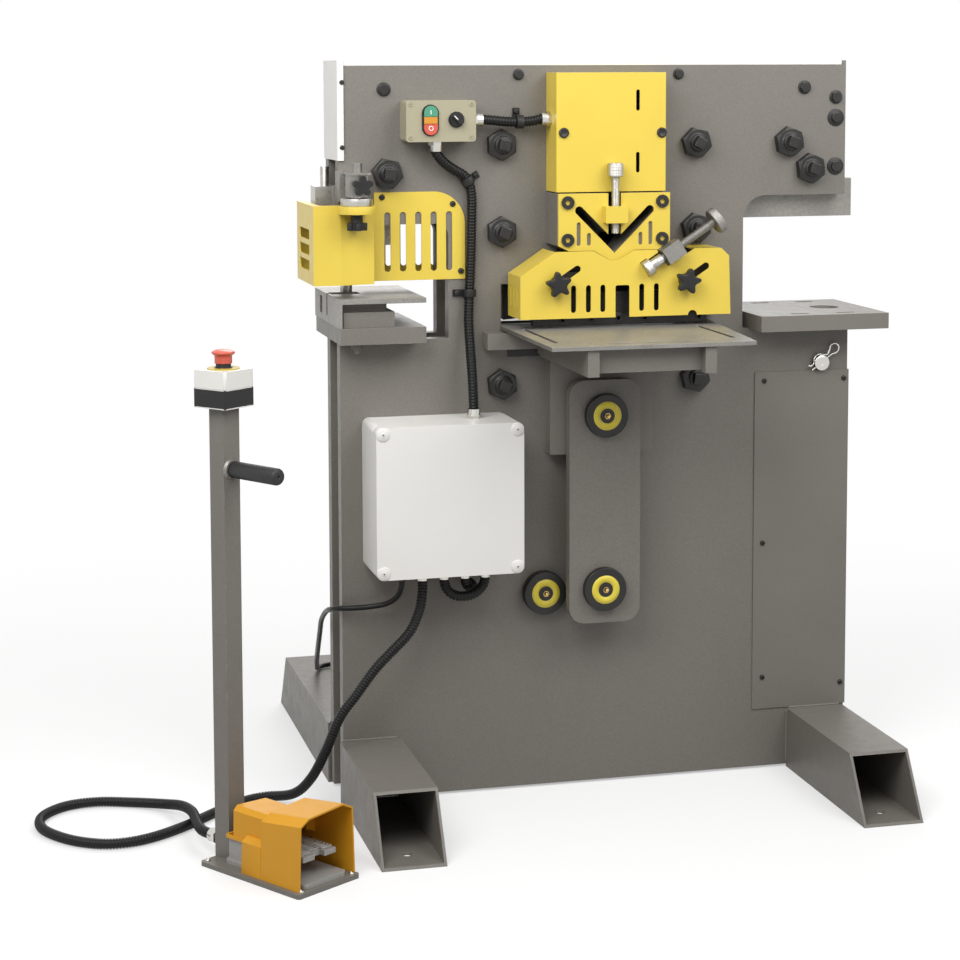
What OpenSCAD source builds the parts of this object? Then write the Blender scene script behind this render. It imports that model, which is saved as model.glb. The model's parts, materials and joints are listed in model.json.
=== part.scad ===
// Hydraulic ironworker: a twin-plate frame with a punch station on the left, an angle shear and
// a flat shear in the middle and a tool table on the right, all driven by one working beam.
// X runs along the frame, Y to the rear, Z up. The origin lies on the floor, in the middle of
// the four anchor holes, on the middle plane between the side plates.

/* [Frame] */
// Length of the two side plates
frame_w = 990; // [960:5:1200]
// Height of the two side plates
frame_h = 1365; // [1360:5:1650]
// Thickness of each side plate
plate_t = 28.5; // [22:0.5:36]
// Clear gap between the side plates
plate_gap = 70; // [68:1:84]
// Lower edge of the plates above the floor
floor_gap = 5; // [2:1:12]
// Extra length of the lower body at the right end
body_step = 10; // [4:1:20]
// Height of the working face, the floor of both throats
work_z = 867; // [850:1:880]
// Depth of the punch throat from the left edge
left_throat = 205; // [190:1:215]
// Height of the arm above the punch throat
left_arm_z = 1080; // [1076:1:1086]
// Depth of the tool throat from the right edge
right_throat = 207; // [195:1:215]
// Height of the arm above the tool throat
right_arm_z = 1122; // [1118:1:1130]
// Fillet at the top of the tool throat
throat_fillet = 45; // [20:1:50]
// Height of the small tabs at the top corners
tab_h = 8; // [5:1:12]

/* [Feet] */
// Width of the square foot tubes
foot_w = 115; // [100:1:125]
// Height of the foot tubes
foot_h = 117; // [100:1:125]
// Wall of the foot tubes
foot_wall = 5; // [4:0.5:8]
// Reach of the front feet from the middle plane
foot_front = 443; // [380:1:480]
// Reach of the rear feet from the middle plane
foot_rear = 635; // [560:1:700]
// Setback of the mitre at the top of each foot
foot_mitre = 72; // [0:1:90]
// Distance from the middle plane to the anchor holes
anchor_y = 380; // [350:1:400]
// Diameter of the anchor holes
anchor_d = 18; // [12:1:24]

/* [Drive] */
// Working stroke of the beam
stroke = 30; // [20:1:30]
// Thickness of the working beam
beam_t = 60; // [50:1:64]
// Radius of the frame pin and of both link pins
pin_r = 27; // [22:0.5:29]
// Radius of the pin caps
cap_r = 41; // [36:1:44]
// Short arm of the rocker, frame pin to link pin
arm_short = 100; // [90:1:110]
// Long arm of the rocker, frame pin to cylinder pin
arm_long = 560; // [540:1:575]
// Height of the frame pin
pivot_z = 379; // [370:1:390]
// Distance between the two link pins
link_c = 328; // [320:1:335]
// Width of the drive links
link_w = 138; // [120:1:140]
// Thickness of the drive links
link_t = 23; // [15:1:26]
// Outer radius of the cylinder barrel
barrel_r = 47.5; // [44:0.5:52]
// Bore radius of the cylinder
bore_r = 37.5; // [34:0.5:40]
// Radius of the piston rod
rod_r = 22.5; // [18:0.5:25]
// Radius of the rod pin and of the clevis pin
rod_pin_r = 15; // [12:0.5:16]
// Height of the clevis pin
clevis_z = 797; // [790:1:805]

/* [Punch station] */
// Distance of the punch axis from the left edge
punch_in = 25; // [15:1:40]
// Radius of the punch tip
punch_r = 11; // [5:0.5:14]
// Clearance between punch and die
die_gap = 0.5; // [0.3:0.1:1]
// Thickness of the bolster and of the tool table
bolster_t = 30; // [25:1:36]
// Width of the bolster across the frame
bolster_w = 250; // [220:2:270]
// Height of the die holder
holder_h = 28; // [24:1:32]
// Thickness of the stripper plate
stripper_t = 9; // [6:1:12]
// Height of the stripper plate's top
stripper_z = 950; // [946:1:952]
// Radius of the swinging guard's post
post_r = 10; // [8:0.5:12]

/* [Angle shear] */
// Middle of the angle shear along the frame
vee_x = 5.8; // [-5:0.1:15]
// Lower point of the V-slot
vee_z = 1025; // [1022:0.5:1030]
// Width of the V-slot in the guard plate
vee_w = 16; // [12:0.5:20]
// Reach of each arm of the V-slot
vee_reach = 68; // [50:1:72]
// Front face of the angle guard plate
angle_face = 145; // [135:1:150]
// Thickness of the angle guard plate
angle_plate_t = 4; // [3:0.5:6]
// Radius of the vertical hold-down screw
hold_r = 8; // [6:0.5:10]

/* [Flat shear] */
// Half length of the window for the flat blades
window_x = 190; // [180:1:192]
// Length of the flat blades
blade_len = 356; // [340:1:370]
// Slope of the upper flat blade
rake = 3.2; // [2:0.1:4]
// Opening of the flat blades at their low end
flat_open = 7; // [6:0.5:9]
// Front face of the flat shear's guard
guard_face = 155; // [152:1:160]
// Sheet thickness of the guards
sheet = 2.5; // [1.5:0.5:3]
// Travel of the flat guard along its slots
guard_travel = 30; // [20:1:32]
// Slope of the guard's slots and of its adjusting screw
guard_slope = 33; // [30:1:35]
// Top of the feed table
table_z = 887.6; // [880:0.1:889]
// Thickness of the feed table
table_t = 7; // [5:0.5:10]

/* [Tool table] */
// Length of the tool table
tool_len = 259; // [240:1:280]
// Width of the tool table
tool_w = 268; // [240:2:290]
// Radius of the round hole
tool_hole_r = 28.5; // [20:0.5:32]
// Width of the four slots
tool_slot_w = 12; // [9:0.5:16]
// Length of the four slots
tool_slot_len = 39; // [30:1:50]
// Spacing of the slots along the frame
tool_slot_dx = 93; // [85:1:100]
// Spacing of the slots across the frame
tool_slot_dy = 208; // [190:1:220]

/* [Electrics] */
// Side of the enclosure
box_w = 274; // [250:2:300]
// Height of the enclosure
box_h = 278; // [250:2:300]
// Depth of the enclosure with its lid
box_d = 131.5; // [110:0.5:150]
// Outer diameter of the corrugated conduits
conduit_d = 19; // [16:0.5:22]
// Outer diameter of the motor cable
cable_d = 10; // [8:0.5:12]
// Width of the control station
station_w = 130; // [120:1:140]
// Height of the control station
station_h = 75; // [70:1:85]
// Depth of the control station
station_d = 54.5; // [45:0.5:60]
// Travel of the push buttons
button_travel = 3; // [2:0.5:4]
// Radius of the emergency-stop mushroom
mushroom_r = 20; // [16:0.5:22]
// Travel of the emergency-stop mushroom
estop_travel = 4; // [3:0.5:6]

/* [Hidden] */
$fn = 64;

// Colours
paint = [0.50, 0.48, 0.45];
yellow = [0.93, 0.82, 0.28];
steel = [0.62, 0.61, 0.58];
dark = [0.10, 0.10, 0.11];
white = [0.90, 0.90, 0.88];
beige = [0.60, 0.58, 0.48];
orange = [0.95, 0.62, 0.12];

// Clearances
fit = 0.05;      // radial gap of a running fit
slide_gap = 0.2; // gap beside a flat sliding face

// Frame reference lines
inner = plate_gap / 2;          // inner face of each plate
outer = inner + plate_t;        // outer face of each plate
left_x = -frame_w / 2;          // left edge of the plates
right_x = frame_w / 2;          // right edge of the upper arm
body_x = right_x + body_step;   // right edge of the lower body
low_z = floor_gap;              // lower edge of the plates
top_z = floor_gap + frame_h;    // upper edge of the plates
throat_l = left_x + left_throat;
throat_r = right_x - right_throat;
bed_z = work_z + bolster_t;     // top of the bolster and of the tool table

// ---------------------------------------------------------------- helpers

// Box between two values on each axis
module block(x, y, z) {
    translate([x[0], y[0], z[0]]) cube([x[1] - x[0], y[1] - y[0], z[1] - z[0]]);
}

// Outline in X and Z, extruded from y0 to y1
module xz(y0, y1) {
    translate([0, y1, 0]) rotate([90, 0, 0]) linear_extrude(y1 - y0) children();
}

// Outline in Y and Z, extruded from x0 to x1
module yz(x0, x1) {
    translate([x0, 0, 0]) rotate([90, 0, 90]) linear_extrude(x1 - x0) children();
}

// Outline in X and Y, extruded from z0 to z1
module xy(z0, z1) {
    translate([0, 0, z0]) linear_extrude(z1 - z0) children();
}

module rod_x(x0, x1, y, z, r) {
    translate([x0, y, z]) rotate([0, 90, 0]) cylinder(r = r, h = x1 - x0);
}

module rod_y(x, z, y0, y1, r) {
    translate([x, y1, z]) rotate([90, 0, 0]) cylinder(r = r, h = y1 - y0);
}

module rod_z(x, y, z0, z1, r) {
    translate([x, y, z0]) cylinder(r = r, h = z1 - z0);
}

// Hexagon along Y, with two flats level
module hex_y(x, z, y0, y1, across) {
    translate([x, y1, z]) rotate([90, 0, 0]) cylinder(r = across / sqrt(3), h = y1 - y0, $fn = 6);
}

module hex_z(x, y, z0, z1, across) {
    translate([x, y, z0]) cylinder(r = across / sqrt(3), h = z1 - z0, $fn = 6);
}

module both_sides() {
    children();
    mirror([0, 1, 0]) children();
}

// Flat outlines
module rect(x, z) {
    translate([x[0], z[0]]) square([x[1] - x[0], z[1] - z[0]]);
}

module round_rect(x, z, r) {
    rect([x[0] + r, x[1] - r], z);
    rect(x, [z[0] + r, z[1] - r]);
    for (px = [x[0] + r, x[1] - r], pz = [z[0] + r, z[1] - r]) translate([px, pz]) circle(r);
}

// Slot with round ends, from centre p to centre q
module slot(p, q, w) {
    v = q - p;
    translate(p) rotate(atan2(v[1], v[0])) {
        circle(d = w);
        translate([norm(v), 0]) circle(d = w);
        translate([0, -w / 2]) square([norm(v), w]);
    }
}

// Bar with round ends of two radii, joined by their outer tangents
module tapered_bar(p, rp, q, rq) {
    v = q - p;
    a = atan2(v[1], v[0]);
    b = acos((rp - rq) / norm(v));
    translate(p) circle(rp);
    translate(q) circle(rq);
    polygon([p + rp * [cos(a + b), sin(a + b)], p + rp * [cos(a - b), sin(a - b)],
        q + rq * [cos(a - b), sin(a - b)], q + rq * [cos(a + b), sin(a + b)]]);
}

// Material that rounds an inside corner at p; sx and sz point into the open side
module inside_fillet(p, r, sx, sz) {
    translate(p) scale([sx, sz]) difference() {
        square(r);
        translate([r, r]) circle(r);
    }
}

// Five-lobed hand knob, axis along Z, standing on the plane z = 0
module star_knob(r, h, hub_r, hub_h, bore) {
    lobe = r * 0.3;
    difference() {
        union() {
            translate([0, 0, hub_h]) linear_extrude(h) {
                circle(r * 0.62);
                for (i = [0:4]) rotate(90 + 72 * i) slot([0, 0], [r - lobe, 0], 2 * lobe);
            }
            cylinder(r = hub_r, h = hub_h);
        }
        if (bore > 0) translate([0, 0, -1]) cylinder(r = bore, h = hub_h + h - 3);
    }
}

// Smooth curve through hand-set points, steps rings to each stretch
function curve_at(p, i, t) =
    let (n = len(p) - 1, a = p[max(i - 1, 0)], b = p[i], c = p[i + 1], d = p[min(i + 2, n)])
    0.5 * (2 * b + (c - a) * t + (2 * a - 5 * b + 4 * c - d) * t * t
        + (3 * b - a - 3 * c + d) * t * t * t);
function curve(p, steps) = concat(
    [for (i = [0:len(p) - 2], k = [0:steps - 1]) curve_at(p, i, k / steps)], [p[len(p) - 1]]);
function unit(v) = v / norm(v);
function tangents(p) = [for (i = [0:len(p) - 1])
    unit(p[min(i + 1, len(p) - 1)] - p[max(i - 1, 0)])];
// Ring directions carried along the curve without twisting
function carried(t, i, u) = i == len(t) ? []
    : let (v = unit(u - (u * t[i]) * t[i])) concat([v], carried(t, i + 1, v));

// Round tube along a curve through hand-set points
module cord(points, d, steps, sides, first) {
    p = curve(points, steps);
    t = tangents(p);
    u = carried(t, 0, first);
    n = len(p);
    rings = [for (i = [0:n - 1], k = [0:sides - 1])
        let (a = 360 * k / sides, w = cross(t[i], u[i]))
        p[i] + d / 2 * (cos(a) * u[i] + sin(a) * w)];
    walls = [for (i = [0:n - 2], k = [0:sides - 1]) let (m = (k + 1) % sides)
        [i * sides + k, (i + 1) * sides + k, (i + 1) * sides + m, i * sides + m]];
    polyhedron(rings, concat(walls, [[for (k = [0:sides - 1]) k]],
        [[for (k = [sides - 1:-1:0]) (n - 1) * sides + k]]));
}

// ---------------------------------------------------------------- drive geometry

// The rocker starts half the stroke above its frame pin's level and ends half below it
rock_angle = asin(stroke / 2 / arm_short);
pivot_x = -109;
far_x = pivot_x + arm_long * cos(rock_angle);
rod_x_mid = pivot_x + arm_long * (1 + cos(rock_angle)) / 2;  // line of the cylinder
rod_pin_z = pivot_z + arm_long * sin(rock_angle);
rod_play = arm_long * (1 - cos(rock_angle)) / 2 + 0.5;       // half length of the rocker's end slot
rod_lift = arm_long * ((1 + cos(rock_angle)) / 2 * tan(rock_angle) - sin(rock_angle));
low_pin_x = pivot_x + arm_short * (1 + cos(rock_angle)) / 2;
low_pin_z = pivot_z + stroke / 2;
low_pin_play = 1.2;                                          // radial play of the rocker's eye
high_pin_x = low_pin_x + 2.5;
high_pin_z = low_pin_z + link_c;
slot_play = 3;                                               // play of a link pin in the plates
guide_t = 38;                                                // thickness of rail and yoke
link_in = outer + guide_t + 5.5;                             // inner face of the links
link_out = link_in + link_t;
cap_out = link_out + 15;
beam_half = beam_t / 2;

module pin_slot(x, z, r) slot([x, z], [x, z - stroke], 2 * r);

// Gib screws bear on the beam through both plates: [x, z]
gib_screws = [[left_x + 89.5, 1173.7], [right_x - 84, 1172.7], [-190, 1224], [190, 1224],
    [-190, 1063], [190, 1063], [-190, 778], [190, 778], [right_x - 128, 1223.7]];
gib_bore = 12;
gib_pad_r = 18;

// ---------------------------------------------------------------- frame

module plate_outline() {
    difference() {
        union() {
            rect([left_x, body_x], [low_z, work_z]);
            rect([throat_l, throat_r], [work_z - 1, top_z]);
            rect([left_x, throat_l + 1], [left_arm_z, top_z]);
            rect([throat_r - 1, right_x], [right_arm_z, top_z]);
            rect([left_x, left_x + tab_h], [top_z - 1, top_z + tab_h]);
            rect([right_x - tab_h - 1, right_x], [top_z - 1, top_z + tab_h]);
            inside_fillet([throat_r, right_arm_z], throat_fillet, 1, -1);
            inside_fillet([throat_l, left_arm_z], throat_fillet / 2, -1, -1);
        }
        for (g = gib_screws) translate(g) circle(gib_bore);
        translate([pivot_x, pivot_z]) circle(pin_r);
        pin_slot(low_pin_x, low_pin_z, pin_r + slot_play);
        pin_slot(high_pin_x, high_pin_z, pin_r + slot_play);
        translate([rod_x_mid, clevis_z]) circle(rod_pin_r);
        round_rect([rod_x_mid - barrel_window, rod_x_mid + barrel_window],
            [rod_pin_z - 20, clevis_z - 38], 15);
    }
}
barrel_window = 46;   // half width of the plate's opening round the barrel

// Flat shear levels
lower_edge_z = table_z + 0.4;              // cutting edge of the lower flat blade
upper_edge_z = lower_edge_z + flat_open;   // low end of the upper flat blade
blade_rise = blade_len * tan(rake);
blade_h = 60;
window_top = 965;
blade_gap = 0.2;                           // play round a seated blade
// Angle blades
vee_block = 88;                            // half width of the lower V blade
vee_base = 40;                             // metal under the point of the lower V blade
vee_tooth = 92;                            // half width of the upper V blade
vee_thick = vee_w * sqrt(2);               // V-slot measured upright
tooth_z = vee_z + vee_thick + 1;           // lower point of the upper V blade

module front_plate() color(paint) xz(-outer, -inner) difference() {
    plate_outline();
    rect([-blade_len / 2 - blade_gap, blade_len / 2 + blade_gap],
        [lower_edge_z - blade_h, lower_edge_z + 1]);
    rect([-window_x, window_x], [lower_edge_z, window_top]);
    rect([vee_x - vee_block - blade_gap, vee_x + vee_block + blade_gap],
        [vee_z - 1 - vee_base, vee_z + vee_block + 22]);
}

module rear_plate() color(paint) xz(inner, outer) difference() {
    plate_outline();
    rect([-window_x, window_x], [table_z - 3, window_top]);
    rect([vee_x - 92, vee_x + 92], [vee_z - 14, vee_z + 106]);
}

// Spacers that hold the plates apart, clear of the beam and the rocker: [x0, x1, z0, z1]
spacers = [[left_x + 30, body_x - 30, low_z + 15, low_z + 75],
    [left_x + 60, left_x + 110, 480, 790], [-330, -270, top_z - 75, top_z - 10],
    [210, 270, top_z - 75, top_z - 10], [body_x - 25, body_x - 5, 150, 240],
    [left_x + 60, left_x + 120, 1270, top_z - 10]];
module frame_spacers() color(paint)
    for (s = spacers) block([s[0], s[1]], [-inner, inner], [s[2], s[3]]);

foot_mid = frame_w / 2 - 51.5;                          // middle line of each foot
foot_x = [-foot_mid - foot_w / 2, foot_mid - foot_w / 2];
module foot_tube(x, reach, sign) {
    scale([1, sign, 1]) difference() {
        block([x, x + foot_w], [outer, reach], [0, foot_h]);
        block([x + foot_wall, x + foot_w - foot_wall], [outer - 1, reach + 1],
            [foot_wall, foot_h - foot_wall]);
        yz(x - 1, x + foot_w + 1)
            polygon([[reach, 0], [reach + 1, 0], [reach + 1, foot_h + 1],
                [reach - foot_mitre * (foot_h + 1) / foot_h, foot_h + 1]]);
        rod_z(x + foot_w / 2, anchor_y, -1, foot_wall + 1, anchor_d / 2);
    }
}
module feet() color(paint) for (x = foot_x) {
    foot_tube(x, foot_front, -1);
    foot_tube(x, foot_rear, 1);
}

// White folded cover on the top edge and down the left end
cover_t = 2;
cover_half = outer + 4.5;
cover_end_z = 1198;
module end_cover() color(white) {
    block([left_x - cover_t, right_x - tab_h - 1], [-outer, outer],
        [top_z + tab_h, top_z + tab_h + cover_t]);
    both_sides() block([left_x + tab_h, right_x - tab_h - 1], [-outer, -outer + cover_t],
        [top_z, top_z + tab_h]);
    block([left_x - cover_t, left_x], [-cover_half, cover_half],
        [cover_end_z, top_z + tab_h + cover_t]);
    both_sides() block([left_x - cover_t, left_x + tab_h + 2], [-cover_half, -outer],
        [cover_end_z, top_z + tab_h + cover_t]);
}

// Gib screw: hex nut on the plate, shank through it, square head, bearing pad on the beam
module gib_screw(g) {
    difference() {
        hex_y(g[0], g[1], -outer - 18, -outer, 55);
        rod_y(g[0], g[1], -outer - 19, -outer + 1, gib_bore);
    }
    rod_y(g[0], g[1], -outer - 24, -inner, gib_bore);
    rod_y(g[0], g[1], -outer - 24, -outer - 18, 18);
    translate([g[0], -outer - 31, g[1]]) cube([20, 14, 20], center = true);
    rod_y(g[0], g[1], -inner, -beam_half - slide_gap, gib_pad_r);
}
// Heads of the frame's own bolts: [x, z, head radius, height, washer radius]
frame_bolts = [[-410, 1327, 11, 7, 0], [410, 1327, 11, 7, 0], [-156, 1353, 8, 5, 0],
    [156, 1353, 8, 5, 0], [474.5, 1308, 11, 7, 0], [474.6, 1269, 11, 7, 16.5],
    [474.8, 1176, 11, 7, 16.5]];
module frame_bolt(b) {
    if (b[4] > 0) rod_y(b[0], b[1], -outer - 2, -outer, b[4]);
    rod_y(b[0], b[1], -outer - 2 - b[3], -outer - (b[4] > 0 ? 2 : 0), b[2]);
}
module frame_screws() color(dark) {
    for (g = gib_screws) both_sides() gib_screw(g);
    for (b = frame_bolts) frame_bolt(b);
}

// ---------------------------------------------------------------- beam and drive

beam_low = 1078;          // underside of the beam at the right end
beam_left_low = 1092;     // underside of the beam at the left end
beam_top = 1250;
beam_foot = high_pin_z - 52;
leg_x = 215;              // half width of the beam's middle leg
nose_z = 1151;            // top of the beam's ends
beam_right = right_x + 28;
module beam_outline() {
    polygon([[left_x - 5, beam_left_low], [left_x - 5, nose_z], [left_x + 50, nose_z],
        [left_x + 60, 1200], [-leg_x - 30, 1200], [-leg_x, beam_top],
        [right_x - 100, beam_top], [right_x - 95, 1200], [right_x - 50, 1200],
        [right_x - 45, nose_z], [beam_right, nose_z], [beam_right, beam_low],
        [leg_x, beam_low], [leg_x, 750], [high_pin_x + 70, beam_foot],
        [high_pin_x - 70, beam_foot], [-leg_x, 750], [-leg_x, beam_left_low]]);
}
module beam() color(steel) difference() {
    xz(-beam_half, beam_half) beam_outline();
    rod_y(high_pin_x, high_pin_z, -beam_half - 1, beam_half + 1, pin_r);
    // flat stock passes under the upper blade
    xz(-beam_half - 1, beam_half + 1) polygon([[-window_x - 5, lower_edge_z - 10],
        [window_x + 5, lower_edge_z - 10], [window_x + 5, upper_edge_z + blade_rise + 6],
        [-window_x - 5, upper_edge_z + 4]]);
    // pocket of the upper flat blade
    xz(-beam_half - 1, -beam_half + 21) rect([-blade_len / 2, blade_len / 2],
        [upper_edge_z - 5, window_top - 5]);
    // angle stock passes under the upper V blade
    xz(-beam_half - 1, beam_half + 1) polygon([[vee_x - vee_tooth - 6, vee_z - 14],
        [vee_x + vee_tooth + 6, vee_z - 14], [vee_x + vee_tooth + 6, tooth_z + vee_tooth + 12],
        [vee_x, tooth_z + 6], [vee_x - vee_tooth - 6, tooth_z + vee_tooth + 12]]);
    // pocket of the upper V blade
    xz(-beam_half - 1, -beam_half + 21) polygon([[vee_x, tooth_z], [vee_x + vee_tooth,
        tooth_z + vee_tooth], [vee_x - vee_tooth, tooth_z + vee_tooth]]);
}

module lower_blades() color(dark) {
    xz(-outer, -inner) rect([-blade_len / 2, blade_len / 2],
        [lower_edge_z - blade_h, lower_edge_z]);
    xz(-outer, -inner) polygon([[vee_x - vee_block, vee_z - 1 - vee_base],
        [vee_x + vee_block, vee_z - 1 - vee_base], [vee_x + vee_block, vee_z - 1 + vee_block],
        [vee_x, vee_z - 1], [vee_x - vee_block, vee_z - 1 + vee_block]]);
}

module upper_blades() color(dark) {
    xz(-inner + slide_gap, -beam_half + 21) polygon([[-blade_len / 2, upper_edge_z],
        [blade_len / 2, upper_edge_z + blade_rise], [blade_len / 2, window_top - 5],
        [-blade_len / 2, window_top - 5]]);
    xz(-inner + slide_gap, -beam_half + 21) polygon([[vee_x, tooth_z],
        [vee_x + vee_tooth, tooth_z + vee_tooth], [vee_x - vee_tooth, tooth_z + vee_tooth]]);
}

link_round = 30;
module links() color(paint) both_sides() difference() {
    xz(-link_out, -link_in) round_rect([high_pin_x - link_w / 2, high_pin_x + link_w / 2],
        [low_pin_z - 66, high_pin_z + 66], link_round);
    rod_y(low_pin_x, low_pin_z, -link_out - 1, -link_in + 1, pin_r);
    rod_y(high_pin_x, high_pin_z, -link_out - 1, -link_in + 1, pin_r);
}

// Link pins with their collars and caps
module link_pin(x, z, front_collar) {
    rod_y(x, z, -link_out, link_out, pin_r);
    both_sides() {
        rod_y(x, z, -cap_out, -link_out, cap_r);
        rod_y(x, z, -cap_out - 7, -cap_out, 4);
    }
    rod_y(x, z, -link_in, front_collar, pin_r + 8);
    rod_y(x, z, outer + 1, link_in, pin_r + 8);
}
module link_pins() color(dark) {
    link_pin(low_pin_x, low_pin_z, -outer - 1);
    link_pin(high_pin_x, high_pin_z, -outer - guide_t - 1);
}

module rocker() color(steel) {
    p = [pivot_x, pivot_z];
    b = [pivot_x + arm_short * cos(rock_angle), low_pin_z];
    f = [far_x, rod_pin_z];
    along = [cos(rock_angle), sin(rock_angle)];
    difference() {
        xz(-beam_half, beam_half) {
            tapered_bar(p, 60, b, 78);
            tapered_bar(b, 78, f, 36);
        }
        rod_y(p[0], p[1], -beam_half - 1, beam_half + 1, pin_r + fit);
        rod_y(b[0], b[1], -beam_half - 1, beam_half + 1, pin_r + low_pin_play);
        xz(-beam_half - 1, beam_half + 1)
            slot(f - rod_play * along, f + rod_play * along,
                2 * (rod_pin_r + rod_lift + fit));
        // fork round the rod's eye
        block([f[0] - 62, f[0] + 60], [-rod_eye_t / 2 - 1, rod_eye_t / 2 + 1],
            [f[1] - 60, f[1] + 60]);
    }
}

// Hydraulic cylinder, hung from the clevis pin with its rod downwards
rod_eye_t = 30;
rod_eye_r = 26;
barrel_low = rod_pin_z + 46;
piston_h = 28;
gland_len = 25;
barrel_floor = clevis_z - 50;    // upper end of the bore
module cylinder_barrel() color(paint) difference() {
    union() {
        rod_z(rod_x_mid, 0, barrel_low, clevis_z - 40, barrel_r);
        rod_y(rod_x_mid, clevis_z, -inner + 2, inner - 2, 34);
        block([rod_x_mid - 30, rod_x_mid + 30], [-inner + 2, inner - 2],
            [clevis_z - 45, clevis_z]);
        for (z = [barrel_low + 22, barrel_floor - 22])
            rod_y(rod_x_mid, z, barrel_r - 5, barrel_r + 14, 11);
    }
    rod_y(rod_x_mid, clevis_z, -inner, inner, rod_pin_r);
    rod_z(rod_x_mid, 0, barrel_low + gland_len, barrel_floor, bore_r);
    rod_z(rod_x_mid, 0, barrel_low - 1, barrel_low + gland_len + 1, rod_r + fit);
    for (z = [barrel_low + 22, barrel_floor - 22])
        rod_y(rod_x_mid, z, barrel_r + 2, barrel_r + 15, 6);
}
module cylinder_rod() color(steel) {
    rod_z(rod_x_mid, 0, barrel_floor - 5 - piston_h, barrel_floor - 5, bore_r - fit);
    difference() {
        union() {
            rod_z(rod_x_mid, 0, rod_pin_z + 42, barrel_floor - 5 - piston_h, rod_r);
            rod_y(rod_x_mid, rod_pin_z, -rod_eye_t / 2, rod_eye_t / 2, rod_eye_r);
            block([rod_x_mid - 20, rod_x_mid + 20], [-rod_eye_t / 2 + 2, rod_eye_t / 2 - 2],
                [rod_pin_z, rod_pin_z + 42]);
        }
        rod_y(rod_x_mid, rod_pin_z, -rod_eye_t, rod_eye_t, rod_pin_r);
    }
    rod_y(rod_x_mid, rod_pin_z, -beam_half - 2, beam_half + 2, rod_pin_r);
}

// Frame pin of the rocker with its caps, and the clevis pin of the cylinder
module pivot_pins() color(dark) {
    rod_y(pivot_x, pivot_z, -outer, outer, pin_r);
    both_sides() {
        rod_y(pivot_x, pivot_z, -outer - 21.5, -outer, cap_r);
        rod_y(pivot_x, pivot_z, -outer - 28.5, -outer - 21.5, 4);
    }
    rod_y(rod_x_mid, clevis_z, -outer - 12, outer + 12, rod_pin_r);
}

// ---------------------------------------------------------------- angle shear

angle_x = [-102, 113];
angle_top = 1135.5;
angle_chin = 1012;
angle_body = angle_face - 4;     // front face of the painted block
module angle_outline(extra) {
    polygon([[angle_x[0] - extra, angle_top], [angle_x[0] - extra, 1040],
        [-82, 1030], [-34, 1030], [vee_x - 8.8, angle_chin], [vee_x + 8.2, angle_chin],
        [44, 1030], [95, 1030], [angle_x[1], 1045], [angle_x[1], angle_top]]);
}
notch_x = [vee_x - 12.2, vee_x + 11.9];
module vee_slot(w) {
    c = vee_z + vee_w / sqrt(2);
    h = w / sqrt(2);
    polygon([[vee_x, c - h], [vee_x + vee_reach + h / 2, c + vee_reach - h / 2],
        [vee_x + vee_reach - h / 2, c + vee_reach + h / 2], [vee_x, c + h],
        [vee_x - vee_reach + h / 2, c + vee_reach + h / 2],
        [vee_x - vee_reach - h / 2, c + vee_reach - h / 2]]);
    for (s = [-1, 1]) translate([vee_x + s * vee_reach, c + vee_reach]) circle(d = w);
    rect(notch_x, [vee_z + 24, angle_top + 1]);
}
module angle_block() color(paint) xz(-angle_body, -outer) difference() {
    angle_outline(1.6);
    vee_slot(vee_w + 4);
}
// Windows of the guard plate: [x, z0, z1]
angle_windows = [[-63.3, 1043, 1079], [-43.7, 1043, 1059], [55.6, 1043, 1059], [75, 1043, 1079]];
guard_bolts = [[-84.5, 1119.4], [97.5, 1119.4], [-84.5, 1050.6], [97.5, 1050.6]];
module angle_guard() color(yellow) {
    y0 = -angle_face;
    difference() {
        xz(y0, y0 + angle_plate_t) difference() {
            angle_outline(0);
            vee_slot(vee_w);
            for (w = angle_windows) slot([w[0], w[1]], [w[0], w[2]], 7.5);
        }
        for (b = guard_bolts) rod_y(b[0], b[1], y0 - 1, y0 + 5, 12);
    }
    for (b = guard_bolts) difference() {
        rod_y(b[0], b[1], y0 - 4, y0 + angle_plate_t, 12);
        hex_y(b[0], b[1], y0 - 5, y0, 9);
    }
}

// Vertical hold-down screw and the holders of both screws
hold_y = -angle_face - 3;
holder_z = [1081, 1112];
module angle_holddown() color(steel) {
    rod_z(vee_x, hold_y, 1062, 1166, hold_r);
    rod_z(vee_x, hold_y, 1166, 1191, 15);
}
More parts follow.
